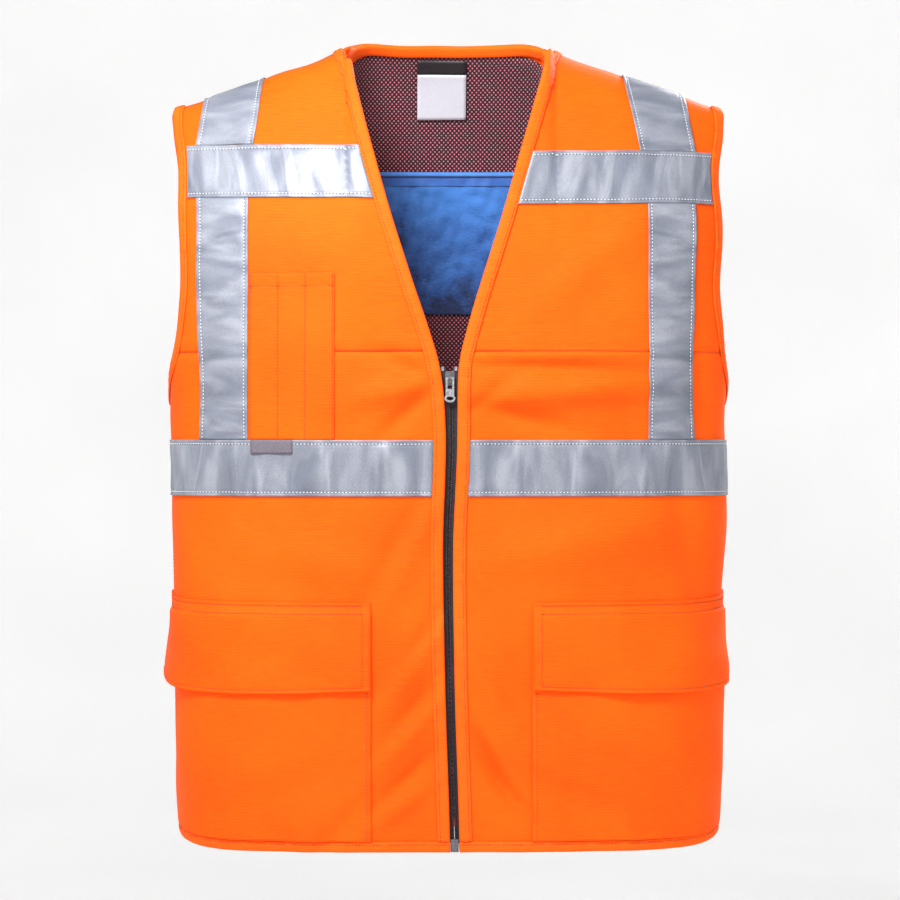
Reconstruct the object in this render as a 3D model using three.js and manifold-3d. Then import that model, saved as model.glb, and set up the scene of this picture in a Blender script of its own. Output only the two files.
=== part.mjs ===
// High-visibility cooling vest, as it stands when worn: a sleeveless shell of orange cloth with a zip front,
// grey reflective tape, bound edges, patch pockets, a mesh lining in the back and a blue cooling panel inside it.
// Millimetres. +Z is up, -Y is the wearer's front, and the wearer's right side is at -X.
// The origin lies between the inner ends of the two shoulder seams, where the vest sits on the shoulders.
import * as THREE from "three";
import { mergeVertices } from "three/addons/utils/BufferGeometryUtils.js";
import Module from "manifold-3d";

const wasm = await Module();
wasm.setup();

// Driving dimensions of the body. A drop is measured down from the origin.
const HEM_DROP = 689;
const HEM_RISE = 9.5;           // the hem rises this much in a round corner at each side seam
const CHEST_WIDTH = 482;
const FRONT_DEPTH = 112;
const BACK_DEPTH = 103;
const SECTION_POWER = 3.1;      // 2 is an ellipse, and more is squarer
const NECK_WIDTH = 176;
const COLLAR_RISE = 50;         // how far the form that carries the neckline rises above the shoulder seams
const SHOULDER_WIDTH = 478;
const SHOULDER_FALL = 54;
const SHOULDER_FLARE = 4;       // the shoulder turns up this much more beside the neck
const ARMPIT_DROP = 300;
const BACK_NECK_RISE = 10;
const NECK_TURN = 1.5;          // how far behind the shoulder seam the back neckline begins
const ZIP_TOP_DROP = 282;
const ZIP_SWAY = 4;             // how far the zip wanders from the middle
const CHEST_SEAM_DROP = 265;

// Thicknesses, and the gap between pieces that are sewn together
const GAP = 0.4;
const CLOTH = 1.6;
const LINING = 1;
const BINDING = 1.1;
const TAPE = 1;
const COOLING = 2.2;
const LABEL = 0.6;
const ZIP_CLOTH = 1;

// Widths and places of what is sewn on
const BINDING_WIDTH = 10.5;
const HEM_WIDTH = 9;
const TAPE_WIDTH = 50;
const WAIST_TAPE = { drop: 340.5, height: 47.5 };
const CHEST_TAPE = { height: 45.5, outerRise: 4, drop: { right: 92, left: 97 } };
const BRACE = {
  right: { low: 193.5, high: 180, width: 43.5 },
  left: { low: 187, high: 172, width: 41 },
};
const PEN_POCKET = { inner: 99, outer: 171, drop: 200 };
const PATCH_POCKET = { inner: 68, drop: 492, fullness: 2 };
const FLAP = { inner: 70, drop: 478, height: 74, seam: 8, lift: 2, cornerLift: { right: 8, left: 0 } };
const COOLING_PANEL = { halfWidth: 170, drop: 100, height: 128 };
const NECK_LABEL = { across: -4, width: 44, drop: 1, stripHeight: 12, height: 52 };
const TAPE_TAG = { inner: 134, width: 35, height: 11.5 };

// Zip: the strip of zip cloth seen between the bound edges, and its metal parts
const ZIP_CHAIN = { width: 5, thick: 2.4 };
const ZIP_CLOTH_REACH = 13;     // half the width of the zip, mostly behind the front edges
const METAL_CLEARANCE = 0.35;
const SLIDER = { width: 8.6, mouth: 6.4, length: 12, plate: 1, neck: 2.6 };
const BRIDGE = { width: 2.2, length: 7, thick: 1 };
const PULL = { thick: 1.4, leg: 1.5, legLength: 9, width: 7.2, plateLength: 6, ringWidth: 9.2, ringLength: 7 };
const PULL_HOLE = { width: 6, length: 3.2 };
const ZIP_BOX = { width: 7, length: 11, thick: 3.4 };
const ZIP_STOP = { width: 2.2, length: 3.4, across: 5.6, thick: 0.8 };

// How the body fills out from the hem, at height 0, to the shoulder seams, at height 1: the half width, and the
// depth to the front and to the back, as shares of the chest's
const FORM = [
  { height: 0.0, width: 0.958, front: 0.95, back: 0.98 },
  { height: 0.12, width: 0.972, front: 0.97, back: 0.94 },
  { height: 0.3, width: 0.982, front: 0.98, back: 0.9 },
  { height: 0.46, width: 0.995, front: 0.98, back: 0.92 },
  { height: 0.565, width: 0.998, front: 1.0, back: 0.98 },
  { height: 0.65, width: 1.0, front: 1.01, back: 1.02 },
  { height: 0.74, width: 1.001, front: 0.97, back: 1.02 },
  { height: 0.83, width: 1.004, front: 0.85, back: 0.95 },
  { height: 0.9, width: 1.002, front: 0.69, back: 0.81 },
  { height: 0.948, width: 1.0, front: 0.52, back: 0.63 },
  { height: 0.98, width: 1.0, front: 0.33, back: 0.41 },
  { height: 0.995, width: 1.005, front: 0.16, back: 0.2 },
  { height: 1.0, width: 1.01, front: 0.0, back: 0.0 },
];

// Edge of the neck opening and of the front edges below it: drop as a share of the zip's top, half the opening
// as a share of half the neck's width, and how far its middle wanders as a share of the sway
const V_EDGE = [
  { drop: 0.0, open: 1.0, sway: -0.2 },
  { drop: 0.14, open: 0.885, sway: -0.7 },
  { drop: 0.34, open: 0.705, sway: -0.95 },
  { drop: 0.53, open: 0.532, sway: -1.05 },
  { drop: 0.71, open: 0.35, sway: -1.05 },
  { drop: 0.89, open: 0.168, sway: -0.80 },
  { drop: 0.98, open: 0.095, sway: -0.60 },
  { drop: 1.06, open: 0.068, sway: -0.30 },
  { drop: 1.2, open: 0.055, sway: -0.05 },
  { drop: 1.55, open: 0.048, sway: -0.80 },
  { drop: 1.95, open: 0.045, sway: -0.40 },
  { drop: 2.4, open: 0.045, sway: 0.60 },
  { drop: 2.6, open: 0.048, sway: 0.80 },
];

// Armhole seen from the side: drop as a share of the way from the shoulder tip to the armpit, and how far it
// reaches to the front or back as a share of its height
const ARMHOLE = [
  { drop: 0.0, reach: 0.0 },
  { drop: 0.11, reach: 0.085 },
  { drop: 0.27, reach: 0.165 },
  { drop: 0.49, reach: 0.215 },
  { drop: 0.65, reach: 0.236 },
  { drop: 0.79, reach: 0.212 },
  { drop: 0.91, reach: 0.155 },
  { drop: 1.0, reach: 0.0 },
];

// Main folds of the front: place across as a share of half the chest's width (minus is the wearer's right), drop
// as a share of the hem's, length, width and rise as shares of the front's depth, and lean from level in degrees
const FOLDS = [
  { across: 0.44, drop: 0.422, long: 0.8, wide: 0.19, lean: 0, rise: 0.045 },
  { across: 0.46, drop: 0.475, long: 0.7, wide: 0.2, lean: 4, rise: -0.02 },
  { across: -0.25, drop: 0.43, long: 0.5, wide: 0.2, lean: 10, rise: 0.025 },
  { across: -0.78, drop: 0.64, long: 0.8, wide: 0.36, lean: -20, rise: -0.035 },
  { across: 0.7, drop: 0.65, long: 1.0, wide: 0.4, lean: 35, rise: -0.025 },
  { across: -0.17, drop: 0.87, long: 0.65, wide: 0.26, lean: 50, rise: 0.035 },
  { across: 0.19, drop: 0.81, long: 0.8, wide: 0.26, lean: -52, rise: 0.035 },
  { across: 0.46, drop: 0.95, long: 0.55, wide: 0.26, lean: -30, rise: -0.025 },
];

// Lattice of the body
const NECK_COLUMNS = 2;         // from the middle to the side of the neck
const SIDE_COLUMNS = 6;         // from there to the side
const ROW_STEP = 75;            // rows are no further apart
const TRIM = 14;                // how far the lattice runs past the hem
const UPPER_SHARE = 0.45;       // rows follow those of the form above this height
const LEVEL_SHARE = 0.5;        // rows are level below this height, and follow the shoulders above it
const HEM_CORNER = 18;          // how sharply the hem turns up, as a power
const SIMPLER = 0.15;           // how far a flat stretch may lie from its lattice
const FAR = 600;                // beyond the vest on every side

const SIDES = [["right", -1], ["left", 1]];
const smooth = (rows, key, value, names) => {
  // Value of the named columns where the key column has that value, by a monotone cubic between the rows
  let i = rows.findIndex((row) => row[key] > value) - 1;
  if (value <= rows[0][key]) i = 0;
  else if (i < 0) i = rows.length - 2;
  const step = rows[i + 1][key] - rows[i][key];
  const u = THREE.MathUtils.clamp((value - rows[i][key]) / step, 0, 1);
  return names.map((name) => {
    const slope = (k) => {
      const secant = (n) => (rows[n + 1][name] - rows[n][name]) / (rows[n + 1][key] - rows[n][key]);
      if (k === 0) return secant(0);
      if (k === rows.length - 1) return secant(k - 1);
      const [before, after] = [secant(k - 1), secant(k)];
      return before * after <= 0 ? 0 : (2 * before * after) / (before + after);
    };
    const [a, b, ma, mb] = [rows[i][name], rows[i + 1][name], slope(i) * step, slope(i + 1) * step];
    return a + u * (ma + u * (3 * (b - a) - 2 * ma - mb + u * (2 * (a - b) + ma + mb)));
  });
};

// Height of the shoulder line, and of the form under the collar, at a distance from the middle
function ridge(across) {
  const neck = NECK_WIDTH / 2;
  const x = Math.abs(across);
  if (x < neck) return COLLAR_RISE * (1 - (x / neck) ** 2) ** 0.65;
  const share = (x - neck) / (SHOULDER_WIDTH / 2 - neck);
  const flare = SHOULDER_FLARE * (1 - Math.exp(-share / 0.1));
  return -flare - (SHOULDER_FALL - SHOULDER_FLARE) * share;
}

function foldRise(x, z) {
  return FOLDS.reduce((sum, fold) => {
    const lean = THREE.MathUtils.degToRad(fold.lean);
    const [dx, dz] = [x - (fold.across * CHEST_WIDTH) / 2, z + fold.drop * HEM_DROP];
    const along = (dx * Math.cos(lean) + dz * Math.sin(lean)) / (fold.long * FRONT_DEPTH);
    const over = (dz * Math.cos(lean) - dx * Math.sin(lean)) / (fold.wide * FRONT_DEPTH);
    return sum + fold.rise * FRONT_DEPTH * Math.exp(-(along ** 2) - over ** 2);
  }, 0);
}

// Point of the body's surface: turn is 0 at the middle and 1 at the side, height runs from the hem to the
// shoulder line, and side is -1 for the front and 1 for the back
function bodyPoint(turn, height, side) {
  const [width, front, back] = smooth(FORM, "height", Math.max(height, 0), ["width", "front", "back"]);
  const angle = (turn * Math.PI) / 2;
  const power = SECTION_POWER;
  const round = (Math.abs(Math.sin(angle)) ** power + Math.cos(angle) ** power) ** (-1 / power);
  const x = (CHEST_WIDTH / 2) * width * round * Math.sin(angle);
  const depth = side < 0 ? FRONT_DEPTH * front : BACK_DEPTH * back;
  const z = (height - 1) * HEM_DROP + ridge(x) * THREE.MathUtils.smoothstep(height, LEVEL_SHARE, 1);
  const fold = side < 0 ? foldRise(x, z) * Math.cos(angle) : 0;
  return new THREE.Vector3(x, side * (depth * round * Math.cos(angle) + fold), z);
}

// Turns of the lattice's columns, with one at each side of the neck
function columnTurns() {
  const share = (NECK_WIDTH / CHEST_WIDTH / FORM.at(-1).width) ** SECTION_POWER;
  const neck = Math.atan((share / (1 - share)) ** (1 / SECTION_POWER)) / (Math.PI / 2);
  const turns = [];
  for (let i = 0; i <= NECK_COLUMNS; i += 1) turns.push((neck * i) / NECK_COLUMNS);
  for (let i = 1; i <= SIDE_COLUMNS; i += 1) turns.push(neck + ((1 - neck) * i) / SIDE_COLUMNS);
  return [...turns.slice(1).reverse().map((turn) => -turn), ...turns];
}

// Heights of the lattice's rows: those of the form's upper half, and those where the pocket and the flap bend
function rowHeights() {
  const seams = [FLAP.drop, FLAP.drop + FLAP.seam, PATCH_POCKET.drop, HEM_DROP + TRIM];
  const marks = FORM.map((row) => row.height).filter((height) => height > UPPER_SHARE);
  marks.push(...seams.map((drop) => 1 - drop / HEM_DROP));
  marks.sort((a, b) => a - b);
  const heights = [];
  for (let k = 0; k < marks.length - 1; k += 1) {
    const step = marks[k + 1] - marks[k];
    const count = Math.ceil((step * HEM_DROP) / ROW_STEP);
    for (let i = 0; i < count; i += 1) heights.push(marks[k] + (step * i) / count);
  }
  return [...heights, marks.at(-1)];
}

// The body's surface as one welded lattice, open at the bottom, with its normals
function bodyLattice() {
  const [turns, heights] = [columnTurns(), rowHeights()];
  const [columns, rows] = [turns.length - 1, heights.length - 1];
  const points = [];
  const faces = [];
  const cell = (i, j, side) => {
    const edge = i === 0 || i === columns || j === rows;
    const plane = side > 0 && !edge ? (columns + 1) * (rows + 1) : 0;
    return plane + j * (columns + 1) + i;
  };
  for (const side of [-1, 1]) {
    for (let j = 0; j <= rows; j += 1) {
      for (let i = 0; i <= columns; i += 1) {
        points[cell(i, j, side)] = bodyPoint(turns[i], heights[j], side);
        if (i === columns || j === rows) continue;
        const corners = [[i, j], [i + 1, j], [i + 1, j + 1], [i, j + 1]].map(([a, b]) => cell(a, b, side));
        const [a, b, c, d] = side < 0 ? corners : corners.reverse();
        faces.push([a, b, c], [a, c, d]);
      }
    }
  }
  const used = [...new Set(faces.flat())].sort((a, b) => a - b);
  const place = new Map(used.map((old, k) => [old, k]));
  const geometry = new THREE.BufferGeometry().setFromPoints(used.map((old) => points[old]));
  geometry.setIndex(faces.flat().map((old) => place.get(old)));
  geometry.computeVertexNormals();
  return geometry;
}

const lattice = bodyLattice();

function solidOf(geometry) {
  const bare = geometry.clone();
  bare.deleteAttribute("normal");
  bare.deleteAttribute("uv");
  const merged = mergeVertices(bare, 1e-4);
  return new wasm.Manifold(new wasm.Mesh({
    numProp: 3,
    vertProperties: merged.attributes.position.array,
    triVerts: new Uint32Array(merged.index.array),
  }));
}

// Layer of cloth over the whole body, between two distances from its surface: numbers, or functions of a point
function layer(inner, outer) {
  const distance = (value, point) => (typeof value === "function" ? value(point) : value);
  const count = lattice.attributes.position.count;
  const index = [...lattice.index.array];
  const points = [outer, inner].flatMap((value) => Array.from({ length: count }, (_, k) => {
    const point = new THREE.Vector3().fromBufferAttribute(lattice.attributes.position, k);
    const normal = new THREE.Vector3().fromBufferAttribute(lattice.attributes.normal, k);
    return point.clone().addScaledVector(normal, distance(value, point));
  }));
  const faces = [...index];
  const edges = new Map();
  for (let k = 0; k < index.length; k += 3) {
    const [a, b, c] = index.slice(k, k + 3);
    faces.push(a + count, c + count, b + count);
    for (const [p, q] of [[a, b], [b, c], [c, a]]) {
      if (!edges.delete(`${q},${p}`)) edges.set(`${p},${q}`, [p, q]);
    }
  }
  for (const [p, q] of edges.values()) faces.push(q, p, p + count, q, p + count, q + count);
  const geometry = new THREE.BufferGeometry().setFromPoints(points);
  geometry.setIndex(faces);
  return solidOf(geometry);
}

// Cutter whose outline, a list of [across, up], is seen from the front, from one depth to another
function frontCutter(outline, from = -FAR, to = FAR) {
  const shape = new THREE.Shape(outline.map(([x, z]) => new THREE.Vector2(x, z)));
  const geometry = new THREE.ExtrudeGeometry(shape, { depth: to - from, bevelEnabled: false });
  return solidOf(geometry.rotateX(Math.PI / 2).translate(0, to, 0));
}

// Cutter whose outline, a list of [back, up], is seen from the side, beyond a distance from the middle
function sideCutter(outline, side, beyond = SHOULDER_WIDTH / 4) {
  const shape = new THREE.Shape(outline.map(([y, z]) => new THREE.Vector2(y, z)));
  const geometry = new THREE.ExtrudeGeometry(shape, { depth: FAR - beyond, bevelEnabled: false });
  geometry.rotateX(Math.PI / 2).rotateZ(Math.PI / 2);
  return solidOf(geometry.translate(side < 0 ? -FAR : beyond, 0, 0));
}

const block = (xs, ys, zs) => {
  const box = new THREE.BoxGeometry(xs[1] - xs[0], ys[1] - ys[0], zs[1] - zs[0]);
  return solidOf(box.translate((xs[0] + xs[1]) / 2, (ys[0] + ys[1]) / 2, (zs[0] + zs[1]) / 2));
};
const front = block([-FAR, FAR], [-FAR, -GAP / 2], [-FAR * 2, FAR]);
const back = block([-FAR, FAR], [GAP / 2, FAR], [-FAR * 2, FAR]);
const between = (top, bottom) => block([-FAR, FAR], [-FAR, FAR], [-bottom, -top]);

// Middle of the front opening at a drop, and half its width
function openingAt(drop) {
  const [open, sway] = smooth(V_EDGE, "drop", drop / ZIP_TOP_DROP, ["open", "sway"]);
  return { middle: sway * ZIP_SWAY, half: (open * NECK_WIDTH) / 2 };
}

// Cutter along the front opening, between two distances from its middle, given as functions of the half width
function alongOpening(from, to, top, bottom, corner = 0) {
  const drops = V_EDGE.map((row) => row.drop * ZIP_TOP_DROP + (row.drop === 0 ? corner : 0))
    .filter((drop) => drop > top && drop < bottom);
  const line = (reach) => [top, ...drops, bottom].map((drop) => {
    const { middle, half } = openingAt(Math.max(drop, 0));
    return [middle + reach(half), -drop];
  });
  return frontCutter([...line(from), ...line(to).reverse()], -FAR, NECK_TURN);
}

const frontOpening = (grow) => alongOpening((half) => -half - grow, (half) => half + grow, -FAR, HEM_DROP + FAR, grow);
const frontSide = (side) => alongOpening(() => (side * GAP) / 2, () => side * FAR, -FAR, HEM_DROP + FAR);

function backOpening(grow) {
  const { middle, half } = openingAt(grow);
  const reach = half + grow;
  const steps = 12;
  const outline = [[middle + reach, FAR], [middle - reach, FAR]];
  for (let k = 0; k <= steps; k += 1) {
    const share = (2 * k) / steps - 1;
    outline.push([middle + share * reach, BACK_NECK_RISE * (1 - share ** 8) - grow]);
  }
  return frontCutter(outline, NECK_TURN, FAR);
}

const neckOpening = (grow) => frontOpening(grow).add(backOpening(grow));

function armholeOutline(grow) {
  const height = ARMPIT_DROP - SHOULDER_FALL;
  const half = ARMHOLE.map((row) => new THREE.Vector3(row.reach * height, -SHOULDER_FALL - row.drop * height, 0));
  const others = half.slice(1, -1).reverse().map((p) => new THREE.Vector3(-p.x, p.y, 0));
  const loop = new THREE.CatmullRomCurve3([...half, ...others], true, "centripetal");
  const count = 22;
  return Array.from({ length: count }, (_, k) => {
    const [p, along] = [loop.getPointAt(k / count), loop.getTangentAt(k / count)];
    return [p.x - along.y * grow, p.y + along.x * grow];
  });
}

const armhole = (side, grow) => sideCutter(armholeOutline(grow), side);
const armholes = (grow) => armhole(-1, grow).add(armhole(1, grow));

// All below the hem, which turns up in a corner at each side
function belowHem(grow) {
  const half = (CHEST_WIDTH / 2) * FORM[0].width + CLOTH;
  const steps = 10;
  const outline = [[-FAR, -FAR * 2], [-FAR, -HEM_DROP + HEM_RISE + grow]];
  for (let k = -steps; k <= steps; k += 1) {
    const share = Math.sign(k) * (1 - (1 - Math.abs(k) / steps) ** 3);
    outline.push([share * half, -HEM_DROP + HEM_RISE * Math.abs(share) ** HEM_CORNER + grow]);
  }
  return frontCutter([...outline, [FAR, -HEM_DROP + HEM_RISE + grow], [FAR, -FAR * 2]]);
}

const vest = new THREE.Group();
vest.name = "cooling_vest";

const ORANGE = { color: 0xff6a1a, roughness: 0.85, metalness: 0 };
const ORANGE_BINDING = { color: 0xff7430, roughness: 0.8, metalness: 0 };
const REFLECTIVE = { color: 0xa9afbc, roughness: 0.45, metalness: 0.3 };
const MESH = { color: 0x4a1f2a, roughness: 0.9, metalness: 0 };
const BLUE = { color: 0x2f6fc4, roughness: 0.8, metalness: 0 };
const BLACK = { color: 0x141216, roughness: 0.7, metalness: 0 };
const SILVER = { color: 0xc9c9cc, roughness: 0.3, metalness: 1 };
const GUNMETAL = { color: 0x77767c, roughness: 0.4, metalness: 1 };
const WHITE = { color: 0xe9eaee, roughness: 0.8, metalness: 0 };
const GREY = { color: 0x6b6470, roughness: 0.7, metalness: 0 };

function addMesh(parent, name, geometry, look) {
  const piece = new THREE.Mesh(geometry, new THREE.MeshStandardMaterial(look));
  piece.name = name;
  parent.add(piece);
  return piece;
}

// Sewn piece: the main body that its cuts leave, with flat stretches made of fewer faces
function addPiece(parent, name, solid, look) {
  const whole = solid.decompose().sort((a, b) => b.volume() - a.volume())[0].asOriginal().simplify(SIMPLER);
  const mesh = whole.getMesh();
  const geometry = new THREE.BufferGeometry();
  geometry.setAttribute("position", new THREE.BufferAttribute(new Float32Array(mesh.vertProperties), 3));
  geometry.setIndex(new THREE.BufferAttribute(new Uint32Array(mesh.triVerts), 1));
  return addMesh(parent, name, geometry, look);
}

// Distances of the layers from the body's surface, counted outwards and inwards
const SEWN_ON = CLOTH + GAP;
const INSIDE = -GAP;
const LINED = INSIDE - LINING - GAP;
const HEM_CUT = BINDING + GAP;   // how far a raw edge stops short of the bound edge

const outsideOf = (grow) => neckOpening(grow).add(armholes(grow)).add(belowHem(grow));
const rawEdges = outsideOf(HEM_CUT);
const boundEdges = outsideOf(BINDING_WIDTH + GAP);
const shell = layer(0, CLOTH).subtract(rawEdges);

function addPanels(parent) {
  for (const [name, side] of SIDES) {
    const half = shell.intersect(front).intersect(frontSide(side));
    addPiece(parent, `${name}_front_yoke`, half.intersect(between(-FAR, CHEST_SEAM_DROP - GAP / 2)), ORANGE);
    addPiece(parent, `${name}_front_panel`, half.intersect(between(CHEST_SEAM_DROP + GAP / 2, FAR * 2)), ORANGE);
  }
  addPiece(parent, "back_panel", shell.intersect(back), ORANGE);
}

function addLining(parent) {
  addPiece(parent, "back_lining", layer(INSIDE - LINING, INSIDE).intersect(back).subtract(rawEdges), MESH);
  const { halfWidth, drop, height } = COOLING_PANEL;
  addPiece(parent, "cooling_panel", layer(LINED - COOLING, LINED).intersect(back)
    .intersect(block([-halfWidth, halfWidth], [0, FAR], [-drop - height, -drop])), BLUE);
}

const outerLeaf = layer(SEWN_ON, SEWN_ON + BINDING);
const innerLeaf = layer(LINED - BINDING, LINED);
const throughAll = layer(LINED - BINDING, SEWN_ON + BINDING);

// Cloth folded over an edge: a leaf on each face and the fold that joins them. The cutter says what lies beyond
// the edge when it is grown by a distance.
function foldedOver(cutter, width) {
  const leaves = outerLeaf.add(innerLeaf).intersect(cutter(width));
  return leaves.add(throughAll.intersect(cutter(BINDING))).subtract(cutter(0));
}

function addBindings(parent) {
  const aboveHem = (solid) => solid.subtract(belowHem(HEM_WIDTH + GAP));
  addPiece(parent, "neck_and_front_binding", aboveHem(foldedOver(neckOpening, BINDING_WIDTH)), ORANGE_BINDING);
  for (const [name, side] of SIDES) {
    const binding = foldedOver((grow) => armhole(side, grow), BINDING_WIDTH);
    addPiece(parent, `${name}_armhole_binding`, binding, ORANGE_BINDING);
  }
  const hem = foldedOver(belowHem, HEM_WIDTH).subtract(frontOpening(0));
  addPiece(parent, "hem_binding", hem, ORANGE_BINDING);
}

// Band between two lines across, each a list of [across, drop] from top to bottom
const band = (side, inner, outer) => frontCutter([...inner, ...outer.reverse()].map(([x, drop]) => [side * x, -drop]));

function addTapes(parent) {
  const sheet = layer(SEWN_ON, SEWN_ON + TAPE).subtract(boundEdges);
  const waistBottom = WAIST_TAPE.drop + WAIST_TAPE.height;
  const waist = sheet.intersect(between(WAIST_TAPE.drop, waistBottom));
  addPiece(parent, "back_waist_tape", waist.intersect(back), REFLECTIVE);
  for (const [name, side] of SIDES) {
    const half = sheet.intersect(front).intersect(frontSide(side));
    addPiece(parent, `${name}_waist_tape`, waist.intersect(half), REFLECTIVE);

    const top = CHEST_TAPE.drop[name];
    const bottom = top + CHEST_TAPE.height;
    const rise = (CHEST_TAPE.outerRise * FAR) / (SHOULDER_WIDTH / 2);
    const above = band(side, [[0, -FAR], [0, top - GAP]], [[FAR, -FAR], [FAR, top - rise - GAP]]);
    const across = band(side, [[0, top], [0, bottom]], [[FAR, top - rise], [FAR, bottom - rise]]);
    const below = band(side, [[0, bottom + GAP], [0, FAR * 2]], [[FAR, bottom - rise + GAP], [FAR, FAR * 2]]);
    addPiece(parent, `${name}_chest_tape`, half.intersect(across), REFLECTIVE);

    const { low, high, width } = BRACE[name];
    const lower = band(side,
      [[low - width / 2, top - GAP], [low - width / 2, WAIST_TAPE.drop - GAP]],
      [[low + width / 2, top - GAP], [low + width / 2, WAIST_TAPE.drop - GAP]]);
    const upper = band(side,
      [[high - TAPE_WIDTH / 2, -FAR], [high - TAPE_WIDTH / 2, 0], [low - TAPE_WIDTH / 2, top]],
      [[high + TAPE_WIDTH / 2, -FAR], [high + TAPE_WIDTH / 2, 0], [low + TAPE_WIDTH / 2, top]]);
    addPiece(parent, `${name}_lower_brace_tape`, half.intersect(lower).intersect(below), REFLECTIVE);
    addPiece(parent, `${name}_shoulder_tape`, half.intersect(upper).intersect(above), REFLECTIVE);
    addPiece(parent, `${name}_back_brace_tape`, sheet.intersect(back).intersect(lower.add(upper)), REFLECTIVE);
  }
}

function addPockets(parent) {
  const tapeTop = -WAIST_TAPE.drop + GAP;
  addPiece(parent, "pen_pocket", layer(SEWN_ON, SEWN_ON + CLOTH)
    .intersect(block([-PEN_POCKET.outer, -PEN_POCKET.inner], [-FAR, 0], [tapeTop, -PEN_POCKET.drop])), ORANGE);

  const patch = PATCH_POCKET;
  const bulge = (p) => {
    const up = THREE.MathUtils.clamp((p.z + HEM_DROP) / (HEM_DROP - patch.drop), 0, 1);
    const over = THREE.MathUtils.clamp((Math.abs(p.x) - patch.inner) / (CHEST_WIDTH / 2 - patch.inner), 0, 1);
    return SEWN_ON + patch.fullness * Math.sin(Math.PI * over) * Math.sin(Math.PI * (0.1 + 0.8 * up));
  };
  const onBulge = CLOTH + GAP;
  const pocketCloth = layer(bulge, (p) => bulge(p) + CLOTH).intersect(front).subtract(belowHem(HEM_WIDTH + GAP));
  for (const [name, side] of SIDES) {
    const beyond = (inner) => [side * inner, side * FAR].sort((a, b) => a - b);
    addPiece(parent, `${name}_patch_pocket`, pocketCloth
      .intersect(block(beyond(patch.inner), [-FAR, 0], [-FAR * 2, -patch.drop])), ORANGE);

    // The flap lies on the cloth at its seam, and hangs over the pocket below it
    const flapRise = (p) => {
      const drop = -p.z - FLAP.drop;
      if (drop <= FLAP.seam + GAP) return SEWN_ON;
      const down = Math.min(drop / FLAP.height, 1);
      const out = THREE.MathUtils.clamp(1 - Math.abs(p.y) / (FRONT_DEPTH / 2), 0, 1);
      return bulge(p) + onBulge + down ** 2 * (FLAP.lift + FLAP.cornerLift[name] * out);
    };
    addPiece(parent, `${name}_pocket_flap`, layer(flapRise, (p) => flapRise(p) + CLOTH).intersect(front)
      .intersect(block(beyond(FLAP.inner), [-FAR, 0], [-FLAP.drop - FLAP.height, -FLAP.drop])), ORANGE);
  }
}

function addLabels(parent) {
  const { across, width, drop, stripHeight, height } = NECK_LABEL;
  const span = [across - width / 2, across + width / 2];
  const cloth = layer(LINED - BINDING - GAP - LABEL, LINED - BINDING - GAP).intersect(back);
  addPiece(parent, "neck_label_strip", cloth.intersect(block(span, [0, FAR], [-drop - stripHeight, -drop])), BLACK);
  addPiece(parent, "neck_label", cloth
    .intersect(block(span, [0, FAR], [-drop - height, -drop - stripHeight - GAP])), WHITE);
  const tag = SEWN_ON + TAPE + GAP;
  addPiece(parent, "tape_tag", layer(tag, tag + LABEL).intersect(block(
    [-TAPE_TAG.inner - TAPE_TAG.width, -TAPE_TAG.inner],
    [-FAR, 0],
    [-WAIST_TAPE.drop - TAPE_TAG.height, -WAIST_TAPE.drop + GAP],
  )), GREY);
}

// The zip lies behind the bound front edges
const ZIP_FACE = LINED - BINDING - GAP;
const ZIP_MIDDLE = ZIP_FACE - ZIP_CLOTH / 2;

function addZip(parent) {
  const halfChain = ZIP_CHAIN.width / 2;
  const boxTop = HEM_DROP - ZIP_BOX.length - METAL_CLEARANCE;
  const halfBox = ZIP_BOX.width / 2 + METAL_CLEARANCE;
  const boxRoom = alongOpening(() => -halfBox, () => halfBox, boxTop, HEM_DROP + FAR);
  const cloth = layer(ZIP_FACE - ZIP_CLOTH, ZIP_FACE).subtract(belowHem(BINDING)).subtract(boxRoom);
  for (const [name, side] of SIDES) {
    const strip = alongOpening(() => side * (halfChain + METAL_CLEARANCE), () => side * ZIP_CLOTH_REACH,
      ZIP_TOP_DROP - ZIP_STOP.length, HEM_DROP + FAR);
    addPiece(parent, `zip_cloth_${name}`, cloth.intersect(strip), BLACK);
  }
  const chain = layer(ZIP_MIDDLE - ZIP_CHAIN.thick / 2, ZIP_MIDDLE + ZIP_CHAIN.thick / 2);
  addPiece(parent, "zip_chain", chain
    .intersect(alongOpening(() => -halfChain, () => halfChain, ZIP_TOP_DROP + SLIDER.length / 2, boxTop)), BLACK);
}

// Plate with its outline seen from the front, as [across, up] points and holes, and its front face at depth 0
function plate(outline, thick, hole = []) {
  const shape = new THREE.Shape(outline.map(([x, z]) => new THREE.Vector2(x, z)));
  if (hole.length) shape.holes.push(new THREE.Path(hole.map(([x, z]) => new THREE.Vector2(x, z))));
  return new THREE.ExtrudeGeometry(shape, { depth: thick, bevelEnabled: false }).rotateX(Math.PI / 2);
}

const ellipse = (width, length, middle, sides = 14) => Array.from({ length: sides }, (_, k) => {
  const angle = (2 * Math.PI * (k + 0.5)) / sides;
  return [(Math.cos(angle) * width) / 2, middle + (Math.sin(angle) * length) / 2];
});

// Group whose origin lies in the middle of the zip's thickness at a drop, with z along the zip and -y out of it
const surface = new THREE.Mesh(lattice);
function zipFrame(drop) {
  const start = new THREE.Vector3(openingAt(drop).middle, -FAR, -drop);
  const [hit] = new THREE.Raycaster(start, new THREE.Vector3(0, 1, 0)).intersectObject(surface);
  const frame = new THREE.Group();
  frame.position.copy(hit.point).addScaledVector(hit.face.normal, ZIP_MIDDLE);
  frame.rotation.x = Math.atan2(-hit.face.normal.z, -hit.face.normal.y);
  vest.add(frame);
  return frame;
}

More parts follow.
